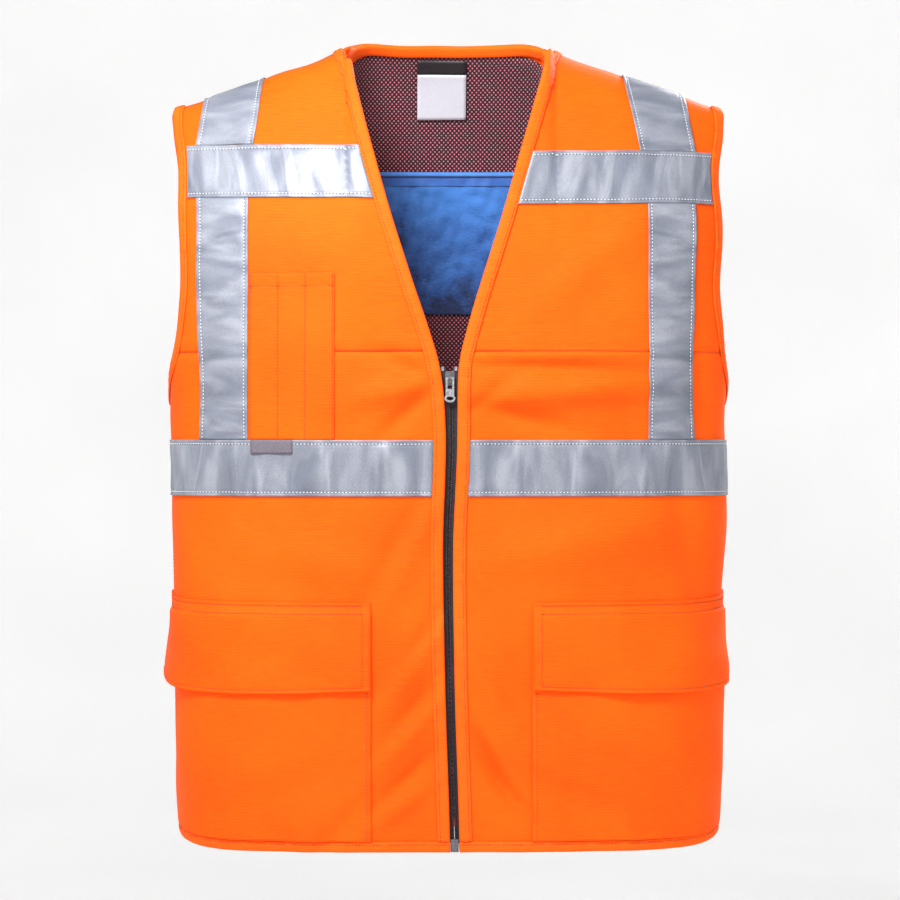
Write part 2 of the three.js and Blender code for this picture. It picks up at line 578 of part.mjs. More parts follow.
const SLIDER_DROP = ZIP_TOP_DROP + METAL_CLEARANCE + SLIDER.length / 2;
const SLIDER_FACE = ZIP_CHAIN.thick / 2 + METAL_CLEARANCE;
const PULL_ROOM = PULL.thick + 2 * METAL_CLEARANCE;

// Slider: two plates joined by a neck at the top, with a bridge on the front that holds the pull
function sliderSolid() {
  const { width, mouth, length, plate: thick, neck } = SLIDER;
  const half = length / 2;
  const outline = [
    [-mouth / 2, -half], [mouth / 2, -half], [width / 2, half * 0.4],
    [width * 0.4, half], [-width * 0.4, half], [-width / 2, half * 0.4],
  ];
  const faces = [-SLIDER_FACE, SLIDER_FACE + thick].map((depth) => solidOf(
    plate(outline, thick).translate(0, depth, 0)));
  const post = block([-neck / 2, neck / 2], [-SLIDER_FACE - thick / 2, SLIDER_FACE + thick / 2], [half - neck, half]);

  const [reach, rise] = [BRIDGE.length / 2, PULL_ROOM + BRIDGE.thick];
  const arch = new THREE.Shape([
    [-reach, -thick / 2], [-reach, rise * 0.6], [-reach + rise * 0.4, rise], [reach - rise * 0.4, rise],
    [reach, rise * 0.6], [reach, -thick / 2], [reach - BRIDGE.thick, -thick / 2],
    [reach - BRIDGE.thick, PULL_ROOM], [-reach + BRIDGE.thick, PULL_ROOM], [-reach + BRIDGE.thick, -thick / 2],
  ].map(([up, out]) => new THREE.Vector2(up, out)));
  const bridge = new THREE.ExtrudeGeometry(arch, { depth: BRIDGE.width, bevelEnabled: false })
    .applyMatrix4(new THREE.Matrix4().set(0, 0, 1, 0, 0, -1, 0, 0, 1, 0, 0, 0, 0, 0, 0, 1))
    .translate(-BRIDGE.width / 2, -SLIDER_FACE - thick, 0);
  return faces[0].add(faces[1]).add(post).add(solidOf(bridge));
}

// Pull: a frame that turns on its top bar under the bridge, a solid middle and a ring, hanging down from the bar
function pullSolid() {
  const { thick, leg, legLength, width, plateLength, ringWidth, ringLength } = PULL;
  const half = width / 2;
  const top = thick / 2;
  const end = -legLength - plateLength;
  const frame = plate([[-half, end], [half, end], [half, top], [-half, top]], thick,
    [[-half + leg, -top], [half - leg, -top], [half - leg, -legLength], [-half + leg, -legLength]]);
  const middle = end - ringLength / 2 + leg;
  const ring = plate(ellipse(ringWidth, ringLength, middle), thick,
    ellipse(PULL_HOLE.width, PULL_HOLE.length, middle));
  const hole = plate(ellipse(PULL_HOLE.width, PULL_HOLE.length, middle), thick * 3).translate(0, thick, 0);
  return solidOf(frame).add(solidOf(ring)).subtract(solidOf(hole)).translate([0, thick / 2, 0]);
}

function addZipMetal() {
  const slider = zipFrame(SLIDER_DROP);
  addPiece(slider, "zip_slider", sliderSolid(), GUNMETAL);
  const pull = addPiece(slider, "zip_pull", pullSolid(), SILVER);
  pull.position.y = -SLIDER_FACE - SLIDER.plate - PULL_ROOM / 2;

  const box = zipFrame(HEM_DROP - ZIP_BOX.length / 2);
  const { width, length, thick } = ZIP_BOX;
  addPiece(box, "zip_box", block([-width / 2, width / 2], [-thick / 2, thick / 2], [-length / 2, length / 2]), GUNMETAL);

  const stops = zipFrame(ZIP_TOP_DROP - ZIP_STOP.length / 2);
  for (const [name, side] of SIDES) {
    const face = -ZIP_CLOTH / 2 - GAP;
    const stop = block([-ZIP_STOP.width / 2, ZIP_STOP.width / 2], [face - ZIP_STOP.thick, face],
      [-ZIP_STOP.length / 2, ZIP_STOP.length / 2]);
    addPiece(stops, `zip_stop_${name}`, stop.translate([side * ZIP_STOP.across, 0, 0]), SILVER);
  }
}

addPanels(vest);
addLining(vest);
addBindings(vest);
addTapes(vest);
addPockets(vest);
addLabels(vest);
addZip(vest);
addZipMetal();

export default vest;
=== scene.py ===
import math
import random

import bmesh
import bpy
import numpy as np
from mathutils import Matrix, Vector
from mathutils.bvhtree import BVHTree
from mathutils.geometry import barycentric_transform


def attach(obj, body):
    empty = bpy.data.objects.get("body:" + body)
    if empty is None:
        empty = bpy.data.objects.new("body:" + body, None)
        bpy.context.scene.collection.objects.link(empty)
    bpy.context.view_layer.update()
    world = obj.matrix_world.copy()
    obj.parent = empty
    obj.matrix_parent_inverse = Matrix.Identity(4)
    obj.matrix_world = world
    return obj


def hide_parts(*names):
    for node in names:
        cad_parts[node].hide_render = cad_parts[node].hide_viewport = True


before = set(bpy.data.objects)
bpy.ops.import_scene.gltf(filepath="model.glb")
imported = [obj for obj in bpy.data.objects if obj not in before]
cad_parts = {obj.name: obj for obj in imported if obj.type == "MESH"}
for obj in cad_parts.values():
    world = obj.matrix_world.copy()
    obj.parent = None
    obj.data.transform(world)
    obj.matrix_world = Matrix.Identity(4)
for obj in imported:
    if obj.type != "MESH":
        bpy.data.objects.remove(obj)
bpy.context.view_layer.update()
MM = 0.001
random.seed(7)

# Body of the vest
HEM_DROP = 689
HEM_RISE = 9.5
HEM_CORNER = 18
CHEST_WIDTH = 482
FRONT_DEPTH = 112
BACK_DEPTH = 103
SECTION_POWER = 3.1
NECK_WIDTH = 176
COLLAR_RISE = 50
SHOULDER_WIDTH = 478
SHOULDER_FALL = 54
SHOULDER_FLARE = 4
ARMPIT_DROP = 300
BACK_NECK_RISE = 10
ZIP_TOP_DROP = 282
ZIP_SWAY = 4
CHEST_SEAM_DROP = 265
LEVEL_SHARE = 0.5

# Thicknesses and the gap between pieces that are sewn together
GAP = 0.4
CLOTH = 1.6
LINING = 1.0
BINDING = 1.1
TAPE = 1.0
COOLING = 2.2
LABEL = 0.6
ZIP_CLOTH = 1.0

# Widths and places of what is sewn on
BINDING_WIDTH = 10.5
HEM_WIDTH = 9
TAPE_WIDTH = 50
WAIST_TAPE = {"drop": 340.5, "height": 47.5}
CHEST_TAPE = {"height": 45.5, "outer_rise": 4, "drop": {"right": 92, "left": 97}}
BRACE = {
    "right": {"low": 193.5, "high": 180, "width": 43.5},
    "left": {"low": 187, "high": 172, "width": 41},
}
PEN_POCKET = {"inner": 99, "outer": 171, "drop": 200}
PATCH_POCKET = {"inner": 68, "drop": 492, "fullness": 2}
FLAP = {
    "inner": 70, "drop": 478, "height": 74, "seam": 8, "lift": 2, "corner": {"right": 8, "left": 0},
    "end_rise": (13, 7), "sag": 4,
}
COOLING_PANEL = {"half": 170, "drop": 100, "height": 128}
NECK_LABEL = {"across": -4, "width": 44, "drop": 1, "strip": 12, "height": 52}
TAPE_TAG = {"inner": 134, "width": 35, "height": 11.5}
ZIP_CHAIN = {"width": 5, "thick": 2.4}
ZIP_CLOTH_REACH = 13
ZIP_BOX_LENGTH = 11
SLIDER_LENGTH = 12

# Distances of the layers from the body's surface
SEWN_ON = CLOTH + GAP
LINED = -GAP - LINING - GAP
ON_BINDING = SEWN_ON + BINDING
IN_BINDING = LINED - BINDING
ZIP_FACE = IN_BINDING - GAP

SIDES = {"right": -1, "left": 1}

# How the body fills out from the hem, at height 0, to the shoulder seams, at height 1: height, width,
# front and back
FORM = [
    (0.0, 0.958, 0.95, 0.98),
    (0.12, 0.972, 0.97, 0.94),
    (0.3, 0.982, 0.98, 0.9),
    (0.46, 0.995, 0.98, 0.92),
    (0.565, 0.998, 1.0, 0.98),
    (0.65, 1.0, 1.01, 1.02),
    (0.74, 1.001, 0.97, 1.02),
    (0.83, 1.004, 0.85, 0.95),
    (0.9, 1.002, 0.69, 0.81),
    (0.948, 1.0, 0.52, 0.63),
    (0.98, 1.0, 0.33, 0.41),
    (0.995, 1.005, 0.16, 0.2),
    (1.0, 1.01, 0.0, 0.0),
]

# Edge of the neck opening and of the front edges below it: drop, opening and sway, as shares
V_EDGE = [
    (0.0, 1.0, -0.2),
    (0.14, 0.885, -0.7),
    (0.34, 0.705, -0.95),
    (0.53, 0.532, -1.05),
    (0.71, 0.35, -1.05),
    (0.89, 0.168, -0.80),
    (0.98, 0.095, -0.60),
    (1.06, 0.068, -0.30),
    (1.2, 0.055, -0.05),
    (1.55, 0.048, -0.80),
    (1.95, 0.045, -0.40),
    (2.4, 0.045, 0.60),
    (2.6, 0.048, 0.80),
]

# Armhole seen from the side: drop and reach, as shares
ARMHOLE = [
    (0.0, 0.0),
    (0.11, 0.085),
    (0.27, 0.165),
    (0.49, 0.215),
    (0.65, 0.236),
    (0.79, 0.212),
    (0.91, 0.155),
    (1.0, 0.0),
]

# Main folds of the front, the same as the solids have: place across and drop, length, width, lean in
# degrees and rise
FOLDS = [
    (0.44, 0.422, 0.8, 0.19, 0, 0.045),
    (0.46, 0.475, 0.7, 0.2, 4, -0.02),
    (-0.25, 0.43, 0.5, 0.2, 10, 0.025),
    (-0.78, 0.64, 0.8, 0.36, -20, -0.035),
    (0.7, 0.65, 1.0, 0.4, 35, -0.025),
    (-0.17, 0.87, 0.65, 0.26, 50, 0.035),
    (0.19, 0.81, 0.8, 0.26, -52, 0.035),
    (0.46, 0.95, 0.55, 0.26, -30, -0.025),
]


def through(rows, column):
    """Monotone cubic through one column of a table, as a function of its first column."""
    xs, ys = np.array(rows, float)[:, [0, column]].T
    step = np.diff(xs)
    rate = np.diff(ys) / step
    both = rate[:-1] * rate[1:]
    total = np.where(both > 0, rate[:-1] + rate[1:], 1)
    slope = np.concatenate([[rate[0]], np.where(both > 0, 2 * both / total, 0), [rate[-1]]])

    def value(x):
        x = np.asarray(x, float)
        k = np.clip(np.searchsorted(xs, x, side="right") - 1, 0, len(xs) - 2)
        u = np.clip((x - xs[k]) / step[k], 0, 1)
        a, b, ma, mb = ys[k], ys[k + 1], slope[k] * step[k], slope[k + 1] * step[k]
        return a + u * (ma + u * (3 * (b - a) - 2 * ma - mb + u * (2 * (a - b) + ma + mb)))

    return value


width_at = through(FORM, 1)
front_at = through(FORM, 2)
back_at = through(FORM, 3)
open_at = through(V_EDGE, 1)
sway_at = through(V_EDGE, 2)


def ridge(across):
    """Height of the shoulder line, and of the form under the collar."""
    neck = NECK_WIDTH / 2
    x = np.abs(across)
    collar = COLLAR_RISE * np.maximum(1 - (x / neck) ** 2, 0) ** 0.65
    share = np.maximum(x - neck, 0) / (SHOULDER_WIDTH / 2 - neck)
    flare = SHOULDER_FLARE * (1 - np.exp(-share / 0.1))
    return np.where(x < neck, collar, -flare - (SHOULDER_FALL - SHOULDER_FLARE) * share)


def shoulder_share(height):
    """How much a row follows the shoulder line."""
    u = np.clip((height - LEVEL_SHARE) / (1 - LEVEL_SHARE), 0, 1)
    return u * u * (3 - 2 * u)


def pushed_out(folds, x, z):
    """How far a table of folds pushes the cloth out at places seen from the front."""
    total = np.zeros(np.shape(x))
    for across, drop, long, wide, lean, rise in folds:
        cosine, sine = math.cos(math.radians(lean)), math.sin(math.radians(lean))
        along = ((x - across) * cosine + (z + drop) * sine) / long
        over = ((z + drop) * cosine - (x - across) * sine) / wide
        total = total + rise * np.exp(-(along**2) - over**2)
    return total


MAIN_FOLDS = [
    (across * CHEST_WIDTH / 2, drop * HEM_DROP, long * FRONT_DEPTH, wide * FRONT_DEPTH, lean, rise * FRONT_DEPTH)
    for across, drop, long, wide, lean, rise in FOLDS
]


def body(turn, girth):
    """Points of the body's surface. Turn is 0 at the middle and 1 at the side. Girth runs from 0 at the front hem
    over the shoulder line, at 1, to 2 at the back hem."""
    turn, girth = np.broadcast_arrays(np.asarray(turn, float), np.asarray(girth, float))
    behind = girth > 1
    height = np.where(behind, 2 - girth, girth)
    angle = turn * math.pi / 2
    sine, cosine = np.sin(angle), np.cos(angle)
    power = SECTION_POWER
    bulk = (np.abs(sine) ** power + np.abs(cosine) ** power) ** (-1 / power)
    low = np.maximum(height, 0)
    x = CHEST_WIDTH / 2 * width_at(low) * bulk * sine
    facing = np.where(behind, 1, -1) * cosine
    depth = np.where(facing < 0, FRONT_DEPTH * front_at(low), BACK_DEPTH * back_at(low))
    z = (height - 1) * HEM_DROP + ridge(x) * shoulder_share(height)
    fold = np.where(facing < 0, pushed_out(MAIN_FOLDS, x, z) * np.abs(cosine), 0)
    return np.stack([x, depth * bulk * facing + np.sign(facing) * fold, z], -1)


def slopes(turn, girth, step=1e-3):
    """How fast a point moves with its turn and with its girth."""
    across = (body(turn + step, girth) - body(turn - step, girth)) / (2 * step)
    along = (body(turn, girth + step) - body(turn, girth - step)) / (2 * step)
    return across, along


def outwards(turn, girth):
    """Unit normals of the body's surface, pointing out of the vest."""
    across, along = slopes(turn, girth, 2.5e-3)
    normal = np.cross(across, along)
    return normal / np.linalg.norm(normal, axis=-1, keepdims=True)


def form_net():
    """Search tree over the body's surface, with the turn and girth of each corner of its triangles."""
    turns = np.linspace(-1, 1, 181)
    heights = np.concatenate([np.linspace(-0.03, 0.9, 130), 1 - np.linspace(0.1**0.5, 0, 70)[1:] ** 2])
    girths = np.concatenate([heights, 2 - heights[:-1][::-1]])
    turn, girth = np.meshgrid(turns, girths)
    points = body(turn, girth).reshape(-1, 3)
    wide, tall = len(turns), len(girths)
    corner = (np.arange(tall - 1)[:, None] * wide + np.arange(wide - 1)).ravel()
    faces = np.concatenate([
        np.stack([corner, corner + 1, corner + wide + 1], 1),
        np.stack([corner, corner + wide + 1, corner + wide], 1),
    ])
    tree = BVHTree.FromPolygons(points.tolist(), faces.tolist())
    return tree, points, faces, np.stack([turn.ravel(), girth.ravel(), 0 * turn.ravel()], 1)


NET_TREE, NET_POINTS, NET_FACES, NET_PLACES = form_net()


def placed(point, index):
    """Turn and girth of a point that lies on one triangle of the form."""
    a, b, c = NET_FACES[index]
    corners = [Vector(NET_POINTS[k]) for k in (a, b, c)] + [Vector(NET_PLACES[k]) for k in (a, b, c)]
    return barycentric_transform(point, *corners)[:2]


def settle(targets):
    """Turn and girth of the surface points nearest to the targets."""
    found = []
    for target in targets:
        point, _, index, _ = NET_TREE.find_nearest(Vector(target))
        found.append(placed(point, index))
    found = np.array(found)
    return found[:, 0], found[:, 1]


def height_of(x, z):
    """Height share of the row that passes a place seen from the front."""
    x, z = np.broadcast_arrays(np.asarray(x, float), np.asarray(z, float))
    low, high = np.full(x.shape, -0.1), np.ones(x.shape)
    for _ in range(36):
        middle = (low + high) / 2
        over = (middle - 1) * HEM_DROP + ridge(x) * shoulder_share(middle) > z
        low, high = np.where(over, low, middle), np.where(over, middle, high)
    return (low + high) / 2


def turn_of(x, height):
    """Turn at a distance from the middle, on a row."""
    share = np.clip(np.abs(x) / (CHEST_WIDTH / 2 * width_at(height)), 0, 0.99999) ** SECTION_POWER
    return np.sign(x) * np.arctan((share / (1 - share)) ** (1 / SECTION_POWER)) / (math.pi / 2)


def seen_in_front(x, z, behind=False):
    """Turn and girth of places seen from the front, on the front or on the back."""
    height = height_of(x, z)
    return turn_of(np.asarray(x, float), height), 2 - height if behind else height


def seen_from_side(y, z, side):
    """Turn and girth of places seen from one side."""
    found = []
    for back, up in zip(y, z):
        ray = NET_TREE.ray_cast(Vector((side * 400, back + 0.01, up)), Vector((-side, 0, 0)), 300)
        found.append(placed(ray[0], ray[2]))
    found = np.array(found)
    return found[:, 0], found[:, 1]


def opening(drop):
    """Middle of the front opening at a drop, and half its width."""
    share = np.asarray(drop, float) / ZIP_TOP_DROP
    return sway_at(share) * ZIP_SWAY, open_at(share) * NECK_WIDTH / 2


def rounded_loop(points, count):
    """Even points on a closed centripetal curve through a few points."""
    ring = np.array(points, float)
    size = len(ring)
    fine = []
    for k in range(size):
        p = [ring[(k + i - 1) % size] for i in range(4)]
        t = np.cumsum([0] + [math.sqrt(np.linalg.norm(p[i + 1] - p[i])) for i in range(3)])
        for u in np.linspace(t[1], t[2], 24, endpoint=False):
            a = [(p[i] * (t[i + 1] - u) + p[i + 1] * (u - t[i])) / (t[i + 1] - t[i]) for i in range(3)]
            b = [(a[i] * (t[i + 2] - u) + a[i + 1] * (u - t[i])) / (t[i + 2] - t[i]) for i in range(2)]
            fine.append((b[0] * (t[2] - u) + b[1] * (u - t[1])) / (t[2] - t[1]))
    return spaced(np.array(fine + [fine[0]]), count + 1)[:-1]


def spaced(points, count):
    """Even points along a line."""
    run = np.concatenate([[0], np.cumsum(np.linalg.norm(np.diff(points, axis=0), axis=1))])
    marks = np.linspace(0, run[-1], count)
    return np.stack([np.interp(marks, run, points[:, i]) for i in range(points.shape[1])], -1)


def armhole_edge(side, grow=0.0, count=300):
    """Turn and girth along an armhole's edge, from the shoulder tip down the front and up the back."""
    height = ARMPIT_DROP - SHOULDER_FALL
    half = [(-reach * height, -SHOULDER_FALL - drop * height) for drop, reach in ARMHOLE]
    loop = rounded_loop(half + [(-y, z) for y, z in reversed(half[1:-1])], count)
    ahead = np.roll(loop, -1, 0) - np.roll(loop, 1, 0)
    ahead /= np.linalg.norm(ahead, axis=1, keepdims=True)
    loop = loop + grow * np.stack([ahead[:, 1], -ahead[:, 0]], 1)
    return seen_from_side(loop[:, 0], loop[:, 1], side)


def front_edge(side, bottom=HEM_DROP, step=3.0):
    """Points along one front edge, from its bottom up to the neck point."""
    drops = np.arange(bottom, 0, -step)
    middle, half = opening(drops)
    return body(*seen_in_front(middle + side * half, -drops))


def back_neck_edge(count=90):
    """Points along the back of the neck, from the wearer's right to the left."""
    middle, half = opening(0.0)
    share = np.sin(np.linspace(-0.5, 0.5, count) * math.pi)
    return body(*seen_in_front(middle + share * half, BACK_NECK_RISE * (1 - share**8), True))


def neck_edge(bottom):
    """Points from the right front edge's bottom, round the neck, to the left one's."""
    line = np.concatenate([front_edge(-1, bottom), back_neck_edge(), front_edge(1, bottom)[::-1]])
    return even_path(line)


def even_path(points, step=2.5, closed=False):
    """The same line with even steps, kept on the body."""
    if closed:
        points = np.vstack([points, points[:1]])
    length = np.linalg.norm(np.diff(points, axis=0), axis=1).sum()
    line = spaced(points, max(int(length / step), 2) + 1)
    soft = line.copy()
    for _ in range(3):
        soft[1:-1] = (soft[:-2] + 2 * soft[1:-1] + soft[2:]) / 4
        if closed:
            soft[0] = soft[-1] = (soft[-2] + 2 * soft[0] + soft[1]) / 4
    return body(*settle(soft))


def beside(points, distance, closed=False):
    """Line on the body at a distance to the left of a line, seen from outside the vest."""
    if closed:
        ahead = np.roll(points[:-1], -1, 0) - np.roll(points[:-1], 1, 0)
        ahead = np.vstack([ahead, ahead[:1]])
    else:
        ahead = np.gradient(points, axis=0)
    ahead /= np.linalg.norm(ahead, axis=1, keepdims=True) + 1e-9
    for _ in range(2):
        turn, girth = settle(points)
        over = np.cross(outwards(turn, girth), ahead)
        over /= np.linalg.norm(over, axis=1, keepdims=True)
        # Round the corners of the line, so that the lines beside it don't cross themselves
        wide = np.pad(over, ((3, 3), (0, 0)), mode="wrap" if closed else "edge")
        over = sum(wide[i : i + len(over)] for i in range(7)) / 7
        over /= np.linalg.norm(over, axis=1, keepdims=True)
        points = body(*settle(points + over * distance / 2))
    return points


def ripple(x, y, z, seed, size):
    """Soft uneven noise between about -1 and 1, with features of a size."""
    dice = random.Random(seed)
    total = np.zeros(np.shape(x))
    for _ in range(7):
        tilt, lift, phase = dice.uniform(0, 6.3), dice.uniform(-0.8, 0.8), dice.uniform(0, 6.3)
        scale = dice.uniform(0.7, 1.5) * 2 * math.pi / size
        flat = math.sqrt(1 - lift * lift)
        total = total + np.sin(
            scale * (x * math.cos(tilt) * flat + z * math.sin(tilt) * flat + y * lift) + phase
        )
    return total / 3.2


# Creases of the front that the solids are too coarse for, in the same order as the folds, in millimetres
CREASES = [
    (95, 269, 80, 4.5, 1, 1.1),
    (90, 280, 70, 6.5, -3, -2.2),
    (88, 300, 80, 11, 4, 2.0),
    (60, 322, 55, 9, -14, -1.8),
    (35, 300, 30, 6, 38, -1.2),
    (-38, 280, 34, 8, -30, -1.6),
    (-45, 297, 38, 9, 14, 1.8),
    (-38, 318, 34, 8, 42, -2.0),
    (-30, 424, 45, 9, 66, 1.6),
    (-52, 440, 60, 10, 60, -1.4),
    (-22, 505, 34, 6, 58, -2.0),
    (-32, 530, 48, 8, 56, 2.0),
    (-30, 566, 44, 7, 52, -2.2),
    (-38, 590, 50, 8, 48, 2.2),
    (-36, 624, 44, 7, 44, -2.0),
    (-44, 650, 40, 8, 38, 1.6),
    (28, 470, 50, 8, -66, 1.5),
    (40, 500, 60, 9, -60, -1.6),
    (36, 560, 60, 9, -58, 2.2),
    (28, 604, 34, 4, -62, -2.6),
    (46, 636, 38, 5, -50, -2.4),
    (40, 600, 60, 9, -58, 1.8),
    (90, 585, 70, 13, -46, -1.6),
    (120, 650, 70, 14, -24, -1.8),
    (160, 600, 60, 18, -30, 1.6),
    (-150, 640, 70, 18, 14, -1.4),
    (-215, 300, 60, 14, 84, -2.4),
    (215, 300, 60, 14, -84, -2.4),
    (-205, 430, 60, 14, 74, -2.0),
    (205, 440, 70, 16, -76, -2.0),
    (100, 430, 90, 20, 12, 1.6),
    (-110, 445, 90, 18, -10, 1.4),
    (-92, 664, 34, 8, 55, -1.1),
    (-118, 668, 26, 8, 78, 0.9),
    (-152, 670, 30, 10, -62, -1.0),
    (106, 664, 34, 8, -60, -1.1),
    (148, 668, 30, 9, -74, 1.0),
    (-188, 520, 40, 10, 58, -1.2),
    (120, 190, 60, 16, 40, 1.2),
    (-60, 200, 60, 16, -50, 1.0),
]
CREASE_DEPTH = 2.6


def wrinkle(point):
    """How far the finer wrinkles push the cloth out, the same for every layer at a place."""
    x, y, z = point[..., 0], point[..., 1], point[..., 2]
    loose = 1.3 * ripple(x, y, z, 3, 150) + 0.7 * ripple(x, y, z, 5, 62)
    in_front = np.clip(-y / 20, 0, 1)
    total = loose + CREASE_DEPTH * in_front * pushed_out(CREASES, x, z)
    # The zip keeps the cloth beside it nearly flat
    return total * (1 - 0.8 * in_front * np.exp(-((x / 15) ** 2)))


def worn(turn, girth, out):
    """Points at a distance out from the wrinkled cloth."""
    point = body(turn, girth)
    return point + outwards(turn, girth) * (out + wrinkle(point))[..., None]


# Materials


def linear(code):
    """Linear colour from an sRGB hex value."""
    parts = [int(code[i : i + 2], 16) / 255 for i in (0, 2, 4)]
    return [p / 12.92 if p <= 0.04045 else ((p + 0.055) / 1.055) ** 2.4 for p in parts] + [1.0]


def add(tree, kind, inputs=(), output=0, stops=(), **settings):
    """Adds a shader node with its settings, its inputs and, on a colour ramp, its stops. Returns one of its
    outputs."""
    made = tree.nodes.new("ShaderNode" + kind)
    for name, value in settings.items():
        setattr(made, name, value)
    for name, value in dict(inputs).items():
        if isinstance(value, bpy.types.NodeSocket):
            tree.links.new(value, made.inputs[name])
        else:
            made.inputs[name].default_value = value
    # A ramp starts with its two ends, and the stops between them are new
    for index, (place, code) in enumerate([*stops[:1], *stops[-1:], *stops[1:-1]]):
        elements = made.color_ramp.elements
        element = elements[index] if index < 2 else elements.new(place)
        element.position = place
        element.color = linear(code)
    return made.outputs[output]


def new_tree(name):
    """New material, and its empty node tree."""
    material = bpy.data.materials.new(name)
    material.use_nodes = True
    material.node_tree.nodes.clear()
    return material, material.node_tree


def surface(tree, colour, values, bumps=(), glow=None, invert=False):
    """Principled surface with its colour, its other values and its bumps, each laid over the one before."""
    values = {"Base Color": colour, **values}
    for height, strength, distance in bumps:
        under = {"Normal": values["Normal"]} if "Normal" in values else {}
        inputs = {"Height": height, "Strength": strength, "Distance": distance, **under}
        values["Normal"] = add(tree, "Bump", inputs, invert=invert)
    if glow is not None:
        values.update({"Emission Color": colour, "Emission Strength": glow})
    shader = add(tree, "BsdfPrincipled", values)
    tree.links.new(shader, tree.nodes.new("ShaderNodeOutputMaterial").inputs["Surface"])


def woven_polyester(name, light, middle, dark, glow, rib):
    """Woven polyester in a fluorescent dye: matt, glowing a little of itself, with fine ribs across."""
    material, tree = new_tree(name)
    place = add(tree, "TexCoord", output="Object")
    cloud = add(tree, "TexNoise", {"Vector": place, "Scale": 9.0, "Detail": 4.0})
    # Threads lie 0.45 mm apart and are drawn as coarser ribs, because finer ones don't show in the render
    threads = add(tree, "TexWave", {"Vector": place, "Scale": math.pi / 10 / (rib * MM), "Distortion": 1.6,
                                    "Detail": 2.0, "Detail Scale": 3.0}, "Fac", bands_direction="Z")
    slub = add(tree, "Mapping", {"Vector": place, "Scale": (90, 90, 1400)})
    grain = add(tree, "TexNoise", {"Vector": slub, "Scale": 1.0, "Detail": 3.0})
    mixed = add(tree, "Math", {0: cloud, 1: 0.25}, operation="MULTIPLY")
    ribbed = add(tree, "Math", {0: threads, 1: 0.14, 2: mixed}, operation="MULTIPLY_ADD")
    grained = add(tree, "Math", {0: grain, 1: 0.25, 2: ribbed}, operation="MULTIPLY_ADD")
    colour = add(tree, "ValToRGB", {"Fac": grained}, stops=[(0.18, dark), (0.32, middle), (0.5, light)])
    values = {"Roughness": 0.78, "Specular IOR Level": 0.15, "Sheen Weight": 0.03, "Sheen Roughness": 0.4,
              "Sheen Tint": linear("ffb070")}
    surface(tree, colour, values, [(ribbed, 0.12, 0.0006), (grain, 0.15, 0.0004)], glow)
    return material


def glass_bead_tape(name):
    """Reflective tape with glass beads: satin grey-blue, with soft creases across it in painted light and shade.
    """
    material, tree = new_tree(name)
    place = add(tree, "TexCoord", output="Object")
    flat = add(tree, "UVMap", uv_map="cloth")
    across = add(tree, "Mapping", {"Vector": flat, "Rotation": (0, 0, 0.35), "Scale": (62, 17, 1)})
    crease_and_painted_light = add(tree, "TexNoise", {"Vector": across, "Scale": 1.0, "Detail": 2.0, "Roughness": 0.4,
                                    "Distortion": 0.9})
    # Beads are under 0.1 mm across and are drawn at 0.8 mm
    beads = add(tree, "TexNoise", {"Vector": place, "Scale": 1250.0, "Detail": 1.0})
    # Painted light and shade: the colour goes lighter and darker along the crease noise that also gives the bump;
    # the beads add grain
    mixed = add(tree, "Math", {0: beads, 1: 0.4, 2: crease_and_painted_light}, operation="MULTIPLY_ADD")
    stops = [(0.42, "616674"), (0.68, "767a86"), (0.93, "92959f")]
    colour = add(tree, "ValToRGB", {"Fac": mixed}, stops=stops)
    bumps = [(crease_and_painted_light, 0.3, 0.004), (beads, 0.15, 0.0003)]
    surface(tree, colour, {"Roughness": 0.5, "Metallic": 0.15}, bumps)
    return material


def knitted_net(name):
    """Knitted polyester net: black, with pink-red dots in staggered rows: the back cloth behind it, in painted
    shade.
    """
    material, tree = new_tree(name)
    flat = add(tree, "UVMap", uv_map="cloth")
    waves = []
    # Holes lie 3.9 mm apart in rows 2.1 mm apart, and every other row is shifted by half
    for axis, pitch in (("X", 3.9), ("Y", 4.2)):
        place = add(tree, "SeparateXYZ", {"Vector": flat}, axis)
        angle = add(tree, "Math", {0: place, 1: math.pi / (pitch * MM)}, operation="MULTIPLY")
        for shift in (0.0, math.pi / 2):
            turned = add(tree, "Math", {0: angle, 1: shift}, operation="ADD")
            sine = add(tree, "Math", {0: turned}, operation="SINE")
            waves.append(add(tree, "Math", {0: sine, 1: 2.0}, operation="POWER"))
    rows = [add(tree, "Math", {0: waves[k], 1: waves[k + 2]}, operation="MULTIPLY") for k in (0, 1)]
    dots = add(tree, "Math", {0: rows[0], 1: rows[1]}, operation="MAXIMUM")
    # Black net, and in its dots the orange back cloth painted dark pink-red as painted shade
    stops = [(0.46, "060406"), (0.66, "581f2c"), (0.92, "c86c80")]
    colour = add(tree, "ValToRGB", {"Fac": dots}, stops=stops)
    surface(tree, colour, {"Roughness": 0.85, "Sheen Weight": 0.15}, [(dots, 0.5, 0.0006)], invert=True)
    return material


